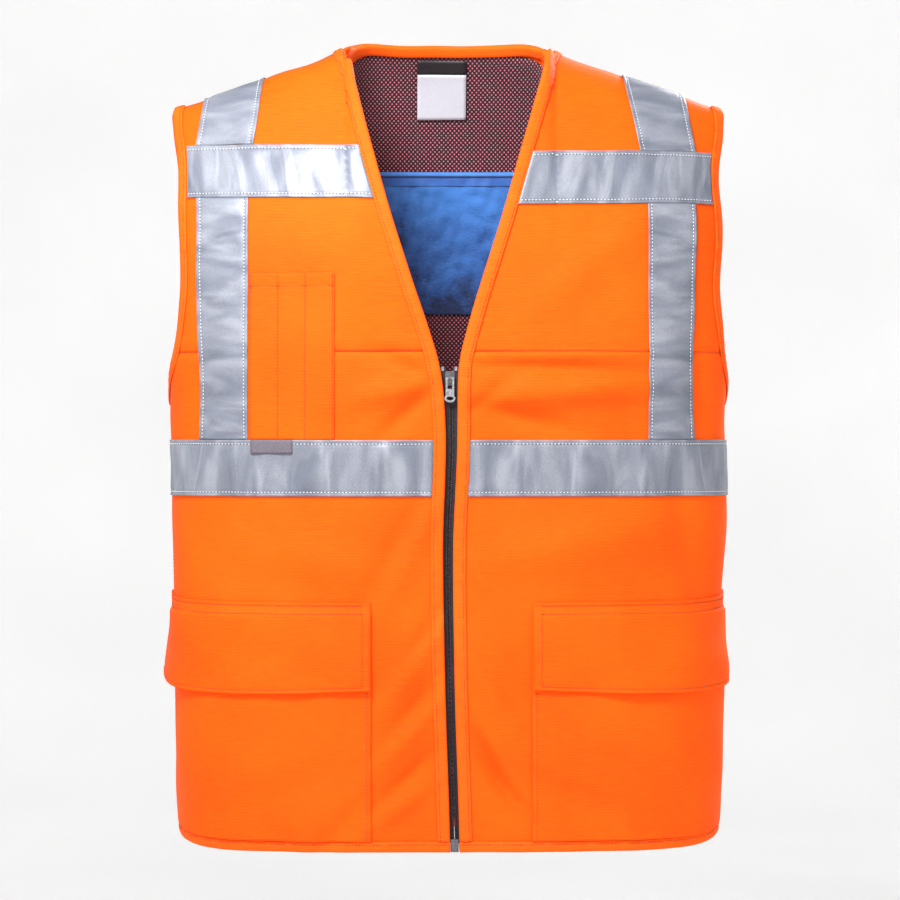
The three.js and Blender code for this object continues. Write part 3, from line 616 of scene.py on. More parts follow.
def brushed_fleece(name):
    """Blue brushed cooling cloth with a short pile, bright and navy by its crumples and darker low down: painted
    light and shade.
    """
    material, tree = new_tree(name)
    place = add(tree, "TexCoord", output="Object")
    crumple = add(tree, "TexNoise", {"Vector": place, "Scale": 17.0, "Detail": 5.0, "Roughness": 0.6,
                                     "Distortion": 1.0})
    slant = add(tree, "Mapping", {"Vector": place, "Rotation": (0, 0.7, 0), "Scale": (260, 260, 900)})
    pile = add(tree, "TexNoise", {"Vector": slant, "Scale": 1.0, "Detail": 3.0})
    # Painted shade: the colour darkens towards the panel's bottom
    height = add(tree, "SeparateXYZ", {"Vector": place}, "Z")
    painted_shade_lower_down = add(tree, "MapRange", {"Value": height, "From Min": -0.22, "From Max": -0.11, "To Min": -0.16,
                                  "To Max": 0.12})
    mixed = add(tree, "Math", {0: crumple, 1: painted_shade_lower_down}, operation="ADD")
    piled = add(tree, "Math", {0: pile, 1: 0.3, 2: mixed}, operation="MULTIPLY_ADD")
    # Navy in the crumples' hollows and bright on their tops: painted shade and painted light
    stops = [(0.42, "0e2850"), (0.57, "1b4e92"), (0.8, "2f6db8")]
    colour = add(tree, "ValToRGB", {"Fac": piled}, stops=stops)
    values = {"Roughness": 0.8, "Sheen Weight": 0.4, "Sheen Tint": linear("8fb8f0")}
    surface(tree, colour, values, [(piled, 0.5, 0.003)])
    return material


def rolled_hem(name):
    """Edge of the cooling cloth: a smooth roll in painted highlight, and under it a navy line of painted shadow at
    its seam.
    """
    material, tree = new_tree(name)
    flat = add(tree, "UVMap", uv_map="cloth")
    height = add(tree, "SeparateXYZ", {"Vector": flat}, "Y")
    # The strip is 12 mm high, and its roll is its upper third
    share = add(tree, "MapRange", {"Value": height, "From Min": -0.112, "From Max": -0.1})
    # From the bottom: the flat cloth, the navy line of painted shadow under the roll, and the roll in painted
    # highlight
    colour = add(tree, "ValToRGB", {"Fac": share}, stops=[
        (0.0, "1f59a4"), (0.5, "1c52a0"), (0.58, "0b1e44"), (0.66, "0b1e44"), (0.72, "2f74c6"), (1.0, "3a80d4"),
    ])
    surface(tree, colour, {"Roughness": 0.7, "Sheen Weight": 0.3})
    return material


def plain_woven(name, light, dark, rough, thread, glow=0.0):
    """Small woven piece, such as zip cloth, a label or thread, with its threads in the bump and, if given, a
    painted glow.
    """
    material, tree = new_tree(name)
    place = add(tree, "TexCoord", output="Object")
    weave = add(tree, "TexNoise", {"Vector": place, "Scale": 1000 / thread, "Detail": 2.0})
    colour = add(tree, "ValToRGB", {"Fac": weave}, stops=[(0.3, dark), (0.7, light)])
    surface(tree, colour, {"Roughness": rough}, [(weave, 0.3, 0.0004)], glow)
    return material


def plated_zinc(name, light, dark, rough):
    """Die-cast zinc with plating: bright, a little worn and uneven."""
    material, tree = new_tree(name)
    place = add(tree, "TexCoord", output="Object")
    wear = add(tree, "TexNoise", {"Vector": place, "Scale": 420.0, "Detail": 4.0})
    colour = add(tree, "ValToRGB", {"Fac": wear}, stops=[(0.35, dark), (0.65, light)])
    surface(tree, colour, {"Metallic": 1.0, "Roughness": rough}, [(wear, 0.15, 0.0002)])
    return material


ORANGE = woven_polyester("woven_polyester_orange", "ff640a", "ff5600", "ea4400", 0.03, 1.25664)
ORANGE_BINDING = woven_polyester("woven_binding_orange", "ff6a1a", "ff5c0a", "ec4c02", 0.03, 1.63363)
REFLECTIVE = glass_bead_tape("glass_bead_tape")
NET = knitted_net("knitted_net")
BLUE = brushed_fleece("brushed_cooling_cloth")
BLUE_HEM = rolled_hem("rolled_blue_hem")
BLACK = plain_woven("black_zip_cloth", "2a282c", "100f12", 0.8, 1.0)
COIL = plain_woven("nylon_coil", "2c2a30", "151418", 0.42, 1.4)
# The white label glows a little: painted glow
WHITE_LABEL_PAINTED_GLOW = plain_woven("white_satin_label_painted_glow", "b4b9c2", "a6acb6", 0.6, 0.9, 0.03)
STRIP = plain_woven("black_satin_label", "1c1c20", "0c0c0f", 0.5, 0.9)
GREY = plain_woven("grey_woven_tag", "6f6872", "565059", 0.7, 0.9)
THREAD_LIGHT = plain_woven("grey_sewing_thread", "f2f3f7", "cfd2da", 0.6, 0.6)
# Orange thread darkened to paint the shade in the seams' grooves, with a little painted glow
THREAD_ORANGE_IN_PAINTED_SHADE = plain_woven("orange_thread_in_painted_shade", "b42e04", "962402", 0.6, 0.6, 0.01)
# Dark grey-blue beads between the tape stitches: painted shade of the needle holes
NEEDLE_HOLE_PAINTED_SHADE = plain_woven("needle_hole_shade", "6a6e7c", "4c505c", 0.9, 0.6)
SILVER = plated_zinc("bright_nickel_plate", "d6d6da", "a8a8ae", 0.25)
GUNMETAL = plated_zinc("gunmetal_plate", "8a898f", "5c5b61", 0.35)

# Pieces


def dress(piece, material, slot, *nodes):
    """Gives a finished piece its material, its body and the nodes that it stands for."""
    piece.data.materials.clear()
    piece.data.materials.append(material)
    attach(piece, "vest")
    if nodes:
        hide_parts(*nodes)


def shown(name, bm):
    """Object made from a bmesh in metres, with smooth faces."""
    mesh = bpy.data.meshes.new(name)
    for face in bm.faces:
        face.smooth = True
    bm.to_mesh(mesh)
    bm.free()
    piece = bpy.data.objects.new(name, mesh)
    bpy.context.scene.collection.objects.link(piece)
    return piece


def grid_piece(name, columns, rows, place, thick, lengthways=False):
    """Cloth made from a grid, whose outer face is placed by a function of the shares across and up, and which has
    its thickness inwards. The function gives points and their outward directions."""
    bm = bmesh.new()
    bmesh.ops.create_grid(bm, x_segments=columns, y_segments=rows, size=0.5)
    flat = np.array([v.co[:2] for v in bm.verts]) + 0.5
    points, normals = place(flat[:, 0], flat[:, 1])
    for vert, point in zip(bm.verts, points):
        vert.co = point * MM
    bm.normal_update()
    # The flat pattern: distances along the rows from their middle, and heights
    index = np.argsort(np.round(flat[:, 1] * rows) * (columns + 1) + np.round(flat[:, 0] * columns))
    back = np.argsort(index)
    net = points[index].reshape(rows + 1, columns + 1, 3)
    over = np.zeros((rows + 1, columns + 1))
    over[:, 1:] = np.cumsum(np.linalg.norm(np.diff(net, axis=1), axis=2), 1)
    over -= over[:, columns // 2][:, None].copy()
    over, up = over.ravel()[back] * MM, net[..., 2].ravel()[back] * MM
    if lengthways:
        over, up = up, over
    layer = bm.loops.layers.uv.new("cloth")
    for face in bm.faces:
        for loop in face.loops:
            k = loop.vert.index
            loop[layer].uv = (over[k], up[k])
    agree = sum(face.normal.dot(Vector(normals[face.verts[0].index])) for face in bm.faces)
    if agree < 0:
        bmesh.ops.reverse_faces(bm, faces=bm.faces)
    piece = shown(name, bm)
    wall = piece.modifiers.new("wall", "SOLIDIFY")
    wall.thickness = thick * MM
    wall.offset = -1
    wall.use_rim = True
    return piece


def cut_size(net):
    """Width, length and area of a net of points, in metres, as the cloth was cut before it was worn."""
    over = np.linalg.norm(np.diff(net, axis=1), axis=2).sum(1)
    up = np.linalg.norm(np.diff(net, axis=0), axis=2).sum(0)
    crossed = np.cross(net[1:, 1:] - net[:-1, :-1], net[1:, :-1] - net[:-1, 1:])
    area = np.linalg.norm(crossed, axis=2).sum() / 2
    width, length = over.max() * MM, up.max() * MM
    return width, length, min(area * MM * MM, width * length)


def patch(node, columns, rows, where, out, thick, material, slot, extra=None, name="",
          lengthways=False):
    """Piece of cloth on the body, which stands for a node if one is given. Where gives turn and girth for the
    shares across and up, and out is its outer face's distance from the body, a number or a function of the
    points."""

    def place(u, v):
        turn, girth = where(u, v)
        point = body(turn, girth)
        reach = out(point, u, v) if callable(out) else np.full(u.shape, float(out))
        if extra:
            reach = reach + extra(point, u, v)
        return worn(turn, girth, reach), outwards(turn, girth)

    piece = grid_piece(name or f"{node}_cloth", columns, rows, place, thick, lengthways)
    v, u = np.meshgrid(np.linspace(0, 1, 49), np.linspace(0, 1, 49), indexing="ij")
    turn, girth = where(u.ravel(), v.ravel())
    width, length, area = cut_size(worn(turn, girth, np.zeros(turn.shape)).reshape(49, 49, 3))
    dress(piece, material, slot, *[node] if node else [])


def mix(a, b, share):
    return a + (b - a) * share


RAW = BINDING + GAP

# Share of a turn or of a height where two halves of the shell meet, and of the back where its lining ends
MEETING = 0.9995
LINING_TOP = 0.994


def armhole_limits(side):
    """Front and back halves of the armhole's raw edge: heights, rising, and the turns there without their sign."""
    turn, girth = armhole_edge(SIDES[side], RAW)
    turn = np.abs(turn)
    halves = {}
    for name, chosen in (("front", girth < 1), ("back", girth > 1)):
        height = np.where(girth > 1, 2 - girth, girth)[chosen]
        order = np.argsort(height)
        halves[name] = (height[order], np.minimum(turn[chosen][order], 1))
    return halves


LIMITS = {side: armhole_limits(side) for side in SIDES}


def inner_turn(side, height, grow):
    """Turn at a distance from the front edge, on rows of the front."""
    x = SIDES[side] * 60.0 + 0 * height
    for _ in range(12):
        z = (height - 1) * HEM_DROP + ridge(x) * shoulder_share(height)
        middle, half = opening(np.maximum(-z, 0))
        x = middle + SIDES[side] * (half + grow)
    return turn_of(x, height)


def outer_turn(side, height, half):
    """Turn where a row of one half ends, at the armhole or at the side seam."""
    heights, turns = LIMITS[side][half]
    return SIDES[side] * np.where(height > heights[0], np.interp(height, heights, turns), MEETING)


def hem_height(x, grow):
    """Height of the hem's edge at a distance from the middle."""
    half = CHEST_WIDTH / 2 * FORM[0][1] + CLOTH
    rise = HEM_RISE * np.minimum(np.abs(x) / half, 1) ** HEM_CORNER
    return (rise + grow) / HEM_DROP


def row_x(turn, height):
    return body(turn, height)[..., 0]


def front_half(side, bottom, top, inner=RAW):
    """Shares across and up on one front half, between two edges given as functions of x."""

    def where(u, v):
        turn = np.full(u.shape, SIDES[side] * 0.5)
        height = np.full(u.shape, 0.6)
        for _ in range(6):
            x = row_x(turn, height)
            height = mix(bottom(x), top(x), v)
            turn = mix(inner_turn(side, height, inner), outer_turn(side, height, "front"), u)
        return turn, height

    return where


def back_half():
    """Shares across and up on the back, between the hem and the neck and shoulders."""
    middle, half = opening(0.0)
    reach = half + RAW
    tip = float(np.abs(outer_turn("left", np.array(MEETING), "back")))
    corner = float(turn_of(np.array(reach), np.array(1.0))) / tip
    neck_share = 0.36

    def where(u, v):
        across = u * 2 - 1
        inside = np.abs(across) < neck_share
        beyond = corner + (np.abs(across) - neck_share) / (1 - neck_share) * (1 - corner)
        level = np.sign(across) * np.where(inside, np.abs(across) / neck_share * corner, beyond)
        share = np.clip(level / corner, -1, 1)
        neck = height_of(middle + share * reach, BACK_NECK_RISE * (1 - share**8) - RAW)
        top = np.where(inside, neck, MEETING)
        turn = level
        for _ in range(4):
            bottom = hem_height(row_x(turn, np.full(u.shape, 0.01)), RAW)
            end = mix(bottom, MEETING, v)
            right, left = (np.abs(outer_turn(side, end, "back")) for side in SIDES)
            turn = level * mix(right, left, u)
        return turn, 2 - mix(bottom, top, v)

    return where


def seam_at(drop):
    return lambda x: height_of(x, -drop + 0 * x)


def make_front_shell(side):
    """One front yoke and the panel below it, sewn together at the chest seam."""
    top = front_half(side, seam_at(CHEST_SEAM_DROP + 1.2), lambda x: MEETING + 0 * x)
    low = front_half(side, lambda x: hem_height(x, RAW), seam_at(CHEST_SEAM_DROP - 0.3))

    def puff(point, u, v):
        # The seam pulls the cloth in, and the cloth puffs out beside it
        away = np.abs(-point[..., 2] - CHEST_SEAM_DROP)
        return -0.9 * np.exp(-((away / 2.2) ** 2)) + 0.5 * np.exp(-(((away - 8) / 5) ** 2))

    def tucked(point, u, v):
        # The panel's top runs on under the yoke's turned edge
        return puff(point, u, v) - 0.5 * np.clip((point[..., 2] + CHEST_SEAM_DROP + 2.4) / 1.6, 0, 1)

    patch(f"{side}_front_yoke", 74, 84, top, CLOTH, CLOTH, ORANGE, "orange_cloth", puff)
    patch(f"{side}_front_panel", 86, 140, low, CLOTH, CLOTH, ORANGE, "orange_cloth", tucked)
    stitch_line(CLOTH_STITCHES, line_on(top, v=0.004, start=0.05, end=0.99), CLOTH - 0.5)
    stitch_line(CLOTH_STITCHES, line_on(low, u=0.992, end=0.8), CLOTH)


def make_back():
    """The back, and its lining, which ends just below the neck binding's fold."""
    whole = back_half()
    patch("back_panel", 130, 168, whole, CLOTH, CLOTH, ORANGE, "orange_cloth")
    patch("back_lining", 130, 168, lambda u, v: whole(u, LINING_TOP * v), -GAP, LINING, NET, "mesh_lining",
          name="back_lining_net")


def make_cooling_panel():
    """Blue panel inside the back, with a rolled hem along its top."""
    half, drop, tall = COOLING_PANEL["half"], COOLING_PANEL["drop"], COOLING_PANEL["height"]
    hem_start = 0.905

    def where(u, v):
        return seen_in_front(mix(-half, half, u), mix(-drop - tall, -drop, v), True)

    def crumple(point, u, v):
        x, y, z = point[..., 0], point[..., 1], point[..., 2]
        inside = np.minimum(np.minimum(v, 1 - v) * 8, 1)
        return -inside * (0.8 + 1.1 * np.abs(ripple(x, y, z, 21, 34)) + 0.6 * ripple(x, y, z, 22, 14))

    def roll(u, v):
        return where(u, mix(hem_start, 1.0, v))

    def swell(point, u, v):
        # Rolled at its top, with a groove at the seam under the roll
        bead = np.sin(math.pi * np.clip((v - 0.66) / 0.34, 0, 1)) ** 0.6
        uneven = 0.3 * ripple(point[..., 0], 0 * u, 0 * u, 41, 14)
        return crumple(point, u, mix(hem_start, 1.0, v)) - 0.3 - 1.0 * bead - uneven

    patch("cooling_panel", 150, 64, where, LINED - 0.1, 1.3, BLUE, "cooling_cloth", crumple)
    patch("", 190, 18, roll, LINED - 1.4, 0.5, BLUE_HEM, "cooling_cloth", swell,
          "cooling_panel_top_hem")


def folded_edge(node, path, width, closed=False, flip=1):
    """Binding folded over an edge, along a line, with small puckers beside its stitches."""
    profile = [
        (width - 0.3, SEWN_ON), (width + 0.3, SEWN_ON + 0.5), (width - 0.5, ON_BINDING - 0.1),
        (width * 0.72, ON_BINDING), (width * 0.45, ON_BINDING + 0.25), (width * 0.2, ON_BINDING),
        (0.9, SEWN_ON + 0.7), (0.1, 1.2), (0.0, 0.0), (0.1, -1.2), (0.9, LINED - 0.7), (width * 0.3, IN_BINDING),
        (width * 0.7, IN_BINDING), (width - 0.5, IN_BINDING + 0.1), (width, LINED - 0.4), (width - 0.3, LINED),
    ]
    steps = len(path) - 1
    lanes = [settle(beside(path, flip * reach, closed)) for reach, _ in profile]
    turns = np.array([lane[0] for lane in lanes])
    girths = np.array([lane[1] for lane in lanes])
    outs = np.array([out for _, out in profile])

    def place(u, v):
        i = np.clip(np.round(u * steps).astype(int), 0, steps)
        j = np.clip(np.round(v * (len(profile) - 1)).astype(int), 0, len(profile) - 1)
        run = (i % steps if closed else i) * 2.5
        pucker = 0.28 * ripple(run, 0 * i, 0 * i, 31, 9) * ((j >= 2) & (j <= 5))
        away = worn(turns[j, i], girths[j, i], outs[j] + pucker)
        core = worn(turns[12, i], girths[12, i], np.zeros(i.shape))
        return away, away - core

    piece = grid_piece(f"{node}_cloth", steps, len(profile) - 1, place, 0.8)
    stitch_line(BINDING_STITCHES, beside(path, flip * (width - 2.2), closed), ON_BINDING + 0.05)
    dress(piece, ORANGE_BINDING, "orange_binding", node)


def towards(path, closed, axis, mark, sign):
    """1 or -1: which side of a line leads towards one end of an axis, at one of its points."""
    moved = beside(path, 4, closed)[mark, axis] - path[mark, axis]
    return 1 if moved * sign > 0 else -1


def make_bindings():
    """Bindings of the neck and front edges, the armholes and the hem."""
    neck = neck_edge(HEM_DROP - HEM_WIDTH - GAP)
    folded_edge("neck_and_front_binding", neck, BINDING_WIDTH, flip=towards(neck, False, 0, 5, -1))
    for side, sign in SIDES.items():
        path = even_path(body(*armhole_edge(sign)), closed=True)
        flip = towards(path, True, 1, len(path) // 4, -1)
        folded_edge(f"{side}_armhole_binding", path, BINDING_WIDTH, True, flip)
    path = even_path(np.concatenate([hem_edge(-1)[::-1], hem_edge(1)[1:]]))
    folded_edge("hem_binding", path, HEM_WIDTH, flip=towards(path, False, 2, 9, 1))


def hem_edge(side):
    """Points along half of the hem, from the middle of the back round one side to the front edge."""
    middle, half = opening(float(HEM_DROP))
    start = abs(float(turn_of(middle + side * half, np.array(0.0))))
    turn = side * np.concatenate([np.linspace(0, 1, 160), np.linspace(1, start, 160)[1:]])
    behind = np.arange(len(turn)) < 160
    height = hem_height(row_x(turn, np.full(turn.shape, 0.005)), 0.0)
    return body(turn, np.where(behind, 2 - height, height))


def creased(level):
    """Function that creases a tape across its length, and dips it at its two rows of stitches."""

    def shape(point, u, v):
        over = v if level else u
        edge = np.minimum(over, 1 - over)
        x, y, z = point[..., 0], point[..., 1], point[..., 2]
        run, cross = (x, z) if level else (z, x)
        folds = ripple(run + 0.45 * cross, 0 * x, 0.25 * cross, 61, 19)
        longer = ripple(run - 0.6 * cross, 0.5 * y, 0.2 * cross, 62, 38)
        dip = -0.4 * np.exp(-(((edge - 0.07) / 0.028) ** 2))
        rim = 0.25 * np.exp(-((edge / 0.03) ** 2))
        inside = np.clip((edge - 0.05) * 6, 0, 1)
        return dip + rim + inside * (0.42 * folds + 0.4 * longer)

    return shape


def make_tape(node, columns, rows, where, level):
    """Reflective tape, level or upright, with a row of stitches along each edge."""
    patch(node, columns, rows, where, SEWN_ON + TAPE, TAPE - 0.3, REFLECTIVE, "reflective_tape", creased(level),
          lengthways=not level)
    for share in (0.07, 0.93):
        line = line_on(where, v=share) if level else line_on(where, u=share)
        # Light stitches with a dark bead between them: painted shade of the needle hole
        stitch_line(TAPE_STITCHES, line, SEWN_ON + TAPE + 0.1, 3.0, 1.05)
        stitch_line(TAPE_HOLE_SHADES, line, SEWN_ON + TAPE + 0.02, 3.0, 0.5, 1.0)


def make_side_tapes(side):
    """Reflective tapes of one side, on the front and on the back."""
    sign = SIDES[side]
    top, tall = WAIST_TAPE["drop"], WAIST_TAPE["height"]
    inner = BINDING_WIDTH + GAP
    chest = CHEST_TAPE["drop"][side]
    rise = CHEST_TAPE["outer_rise"] / (SHOULDER_WIDTH / 2)
    low, high, width = BRACE[side]["low"], BRACE[side]["high"], BRACE[side]["width"]

    def across_chest(u, v):
        turn = np.full(u.shape, sign * 0.5)
        for _ in range(6):
            x = row_x(turn, height_of(row_x(turn, 0.8), -120.0))
            edges = (chest + CHEST_TAPE["height"], chest)
            height = mix(*(height_of(x, -down + np.abs(x) * rise) for down in edges), v)
            ends = settle_edge(side, outer_turn(side, height, "front"), height, inner)
            turn = mix(inner_turn(side, height, inner), ends, u)
        return turn, height

    def lower(u, v):
        x = sign * (low + (u - 0.5) * width)
        start = chest + CHEST_TAPE["height"] + GAP - np.abs(x) * rise
        return seen_in_front(x, -mix(top - GAP, start, v))

    def shoulder(u, v):
        x = np.full(u.shape, sign * high)
        for _ in range(12):
            z = -mix(chest - GAP - np.abs(x) * rise, -ridge(x) - 0.2, v)
            x = sign * (mix(high, low, np.clip(-z / chest, 0, 1)) + (u - 0.5) * TAPE_WIDTH)
        return seen_in_front(x, z)

    def behind(u, v):
        x = np.full(u.shape, sign * high)
        for _ in range(12):
            z = -mix(top - GAP, -ridge(x) - 0.2, v)
            broad = mix(TAPE_WIDTH, width, np.clip((-z - chest + 50) / 60, 0, 1))
            x = sign * (mix(high, low, np.clip(-z / chest, 0, 1)) + (u - 0.5) * broad)
        turn, girth = seen_in_front(x, z, True)
        limit = np.abs(outer_turn(side, 2 - girth, "back")) - 0.03
        return np.sign(turn) * np.minimum(np.abs(turn), limit), girth

    make_tape(f"{side}_waist_tape", 150, 40, front_half(side, seam_at(top + tall), seam_at(top), inner), True)
    make_tape(f"{side}_chest_tape", 110, 40, across_chest, True)
    make_tape(f"{side}_lower_brace_tape", 36, 110, lower, False)
    make_tape(f"{side}_shoulder_tape", 40, 44, shoulder, False)
    make_tape(f"{side}_back_brace_tape", 36, 160, behind, False)


def make_back_waist_tape():
    top, tall = WAIST_TAPE["drop"], WAIST_TAPE["height"]

    def where(u, v):
        turn = mix(-MEETING, MEETING, u)
        height = height_of(row_x(turn, 0.47 + 0 * u), -mix(top + tall, top, v))
        return turn, 2 - height

    make_tape("back_waist_tape", 200, 32, where, True)


def settle_edge(side, turn, height, grow):
    """The armhole's edge moved in by a distance along its row."""
    across, _ = slopes(turn, height)
    return turn - SIDES[side] * (grow - RAW) / np.maximum(np.linalg.norm(across, axis=-1), 1)


def make_pen_pocket():
    """Pocket above the waist tape, with three lanes for pens."""

    def where(u, v):
        x = -mix(PEN_POCKET["outer"], PEN_POCKET["inner"], u)
        return seen_in_front(x, -mix(WAIST_TAPE["drop"] - GAP, PEN_POCKET["drop"], v))

    def lanes(point, u, v):
        # The lanes are sewn down between them, and the folded top edge stands up a little
        lane = np.abs(np.sin(math.pi * np.clip((u - 0.02) / 0.96 * 3, 0, 3)))
        top = 0.35 * np.exp(-(((v - 0.925) / 0.012) ** 2))
        return -0.5 + 0.6 * np.minimum(lane * 3, 1) * np.minimum(v * 6, 1) - top + 0.6 * lane * v**8

    patch("pen_pocket", 60, 84, where, SEWN_ON + CLOTH, CLOTH - 0.4, ORANGE, "orange_cloth", lanes)
    for share in (0.02, 0.34, 0.66, 0.98):
        stitch_line(CLOTH_STITCHES, line_on(where, u=share), SEWN_ON + CLOTH - 0.25, 2.8)
    stitch_line(CLOTH_STITCHES, line_on(where, v=0.925, count=30), SEWN_ON + CLOTH - 0.1, 2.8)


def pocket_out(point):
    """Distance of a patch pocket's inner face from the body."""
    up = np.clip((point[..., 2] + HEM_DROP) / (HEM_DROP - PATCH_POCKET["drop"]), 0, 1)
    inner = PATCH_POCKET["inner"]
    over = np.clip((np.abs(point[..., 0]) - inner) / (CHEST_WIDTH / 2 - inner), 0, 1)
    return SEWN_ON + PATCH_POCKET["fullness"] * np.sin(np.pi * over) * np.sin(np.pi * (0.1 + 0.8 * up))


def make_patch_pocket(side):
    """One patch pocket and its flap."""
    sign = SIDES[side]

    def outwards_from(inner, u, z):
        height = height_of(np.full(u.shape, sign * 150.0), z)
        start = np.abs(turn_of(sign * inner + 0 * u, height))
        return sign * mix(start, MEETING, u), height

    def pocket(u, v):
        drop = mix(HEM_DROP - HEM_WIDTH - GAP, PATCH_POCKET["drop"], v)
        turn, height = outwards_from(PATCH_POCKET["inner"], u, -drop)
        return turn, np.maximum(height, hem_height(row_x(turn, height), HEM_WIDTH + GAP))

    def face(point, u=None, v=None):
        return pocket_out(point) + CLOTH

    def flap(u, v):
        # The flap rises towards the side seam, and its lower edge more than its upper
        rise = u**3 * mix(*FLAP["end_rise"], v) - FLAP["sag"] * (1 - v) * np.sin(math.pi * u)
        drop = FLAP["drop"] + FLAP["height"] * (1 - v) - rise
        return outwards_from(FLAP["inner"] - 1.5, u, -drop)

    def flap_out(point, u=None, v=None):
        drop = -point[..., 2] - FLAP["drop"]
        down = np.clip(drop / FLAP["height"], 0, 1)
        out = np.clip(1 - np.abs(point[..., 1]) / (FRONT_DEPTH / 2), 0, 1)
        hang = face(point) + GAP + down**2 * (FLAP["lift"] + FLAP["corner"][side] * out)
        blend = np.clip((drop - FLAP["seam"] + 3) / 6, 0, 1)
        return mix(SEWN_ON, hang, blend * blend * (3 - 2 * blend)) + CLOTH

    def folds(point, v):
        return 1.4 * ripple(point[..., 0], point[..., 1], point[..., 2], 71, 58) * (1 - v)

    def seams(point, u, v):
        # Two rows of stitches hold the flap's top, and one row runs along its free edges
        rows = sum(np.exp(-(((v - at) / 0.018) ** 2)) for at in (0.965, 0.875))
        ends = np.exp(-(((u - 0.022) / 0.012) ** 2)) + np.exp(-(((v - 0.045) / 0.02) ** 2))
        return -0.6 * rows - 0.4 * ends + folds(point, v)

    def flap_face(line):
        down = np.clip((-line[..., 2] - FLAP["drop"]) / FLAP["height"], 0, 1)
        return flap_out(line) + folds(line, 1 - down) - 0.3

    patch(f"{side}_patch_pocket", 90, 84, pocket, face, CLOTH, ORANGE, "orange_cloth")
    stitch_line(CLOTH_STITCHES, line_on(pocket, u=0.012), face)
    patch(f"{side}_pocket_flap", 90, 60, flap, flap_out, CLOTH, ORANGE, "orange_cloth", seams)
    for share in (0.965, 0.875, 0.045):
        stitch_line(CLOTH_STITCHES, line_on(flap, v=share, start=0.022), flap_face)
    stitch_line(CLOTH_STITCHES, line_on(flap, u=0.022, start=0.045, end=0.875), flap_face)


def make_labels():
    """Bare neck label with its dark strip, and the bare tag on the waist tape."""
    strip_end = NECK_LABEL["drop"] + NECK_LABEL["strip"]

    def at(top, bottom):
        x = NECK_LABEL["across"]
        return lambda u, v: seen_in_front(x + (u - 0.5) * NECK_LABEL["width"], -mix(bottom, top, v), True)

    def tag(u, v):
        x = -mix(TAPE_TAG["inner"] + TAPE_TAG["width"], TAPE_TAG["inner"], u)
        top = WAIST_TAPE["drop"]
        return seen_in_front(x, -mix(top + TAPE_TAG["height"], top - GAP, v))

    strip = at(NECK_LABEL["drop"], strip_end)
    label = at(strip_end + GAP, NECK_LABEL["drop"] + NECK_LABEL["height"])
    patch("neck_label_strip", 14, 5, strip, ZIP_FACE, LABEL, STRIP, "black_cloth")
    patch("neck_label", 14, 14, label, ZIP_FACE, LABEL, WHITE_LABEL_PAINTED_GLOW, "white_label")
    patch("tape_tag", 14, 6, tag, SEWN_ON + TAPE + GAP + LABEL, LABEL, GREY, "grey_label")


def make_zip_cloth(side):
    """Zip cloth behind one bound edge. It runs on under the coil, and parts round the slider and the box."""

    def strip(u, v):
        drop = mix(HEM_DROP - 1, ZIP_TOP_DROP - 3.4, v)
        middle, _ = opening(drop)
        near = np.where(drop < ZIP_TOP_DROP + SLIDER_LENGTH / 2 + 3, ZIP_CHAIN["width"] / 2 + 0.35, 0.25)
        near = np.where(drop > HEM_DROP - ZIP_BOX_LENGTH + 1.5, 3.9, near)
        return seen_in_front(middle + SIDES[side] * mix(near, ZIP_CLOTH_REACH, u), -drop)

    patch(f"zip_cloth_{side}", 6, 140, strip, ZIP_FACE, ZIP_CLOTH, BLACK, "black_cloth")


def make_coil():
    """Two rows of coil in front of the zip cloth, whose turns are beads to the left and to the right in turn."""
    pitch = 0.95
    start, end = ZIP_TOP_DROP + SLIDER_LENGTH / 2 + 4, HEM_DROP - ZIP_BOX_LENGTH
    drops = start + pitch * np.arange(int((end - start) / pitch))
    turn, girth = seen_in_front(opening(drops)[0], -drops)
    spots = worn(turn, girth, np.full(len(drops), ZIP_FACE - ZIP_CLOTH / 2 + 0.3))
    spots[::2, 0] -= 1.15
    spots[1::2, 0] += 1.15
    ahead = np.tile([1.0, 0, 0], (len(drops), 1))
    coil = bmesh.new()
    add_beads(coil, spots, ahead, outwards(turn, girth), (1.35, 0.8, 0.95))
    dress(shown("zip_chain_coil", coil), COIL, "zip_coil", "zip_chain")


def frame_matrix(point, along, out):
    """Frame at a point in metres: x along, y across and z out."""
    out = Vector(out).normalized()
    along = Vector(along)
    along = (along - out * along.dot(out)).normalized()
    over = out.cross(along)
    place = Matrix.Identity(4)
    for row in range(3):
        place[row][0], place[row][1], place[row][2] = along[row], over[row], out[row]
        place[row][3] = point[row] * MM
    return place


def add_beads(bm, spots, ahead, facing, radii):
    """Small rounded beads, one at each spot. They are made in groups, because a big bmesh is slow to add to."""
    size = Matrix.Diagonal((*(radius * MM for radius in radii), 1))
    group = 60
    for first in range(0, len(spots), group):
        part = bmesh.new()
        for k in range(first, min(first + group, len(spots))):
            shape = frame_matrix(spots[k], ahead[k], facing[k])
            bmesh.ops.create_icosphere(part, subdivisions=1, radius=1, matrix=shape @ size)
        mesh = bpy.data.meshes.new("bead_group")
        part.to_mesh(mesh)
        part.free()
        bm.from_mesh(mesh)
        bpy.data.meshes.remove(mesh)


def stitch_line(bm, line, out, pitch=3.0, long=1.15, shift=0.5):
    """Row of stitches along a line on the body, sunk a little in the cloth. Out is a number or a function of the
    points."""
    run = np.concatenate([[0], np.cumsum(np.linalg.norm(np.diff(line, axis=0), axis=1))])
    marks = np.arange(pitch * shift, run[-1], pitch)
    if len(marks) < 2:
        return
    line = np.stack([np.interp(marks, run, line[:, i]) for i in range(3)], -1)
    turn, girth = settle(line)
    reach = out(line) if callable(out) else np.full(marks.shape, float(out))
    spots = worn(turn, girth, reach)
    add_beads(bm, spots, np.gradient(spots, axis=0), outwards(turn, girth), (long, 0.42, 0.336))


def line_on(where, u=None, v=None, start=0.004, end=0.996, count=120):
    """Points on the body along a line of equal share on a patch."""
    run = np.linspace(start, end, count)
    return body(*where(run if u is None else np.full(count, u), run if v is None else np.full(count, v)))


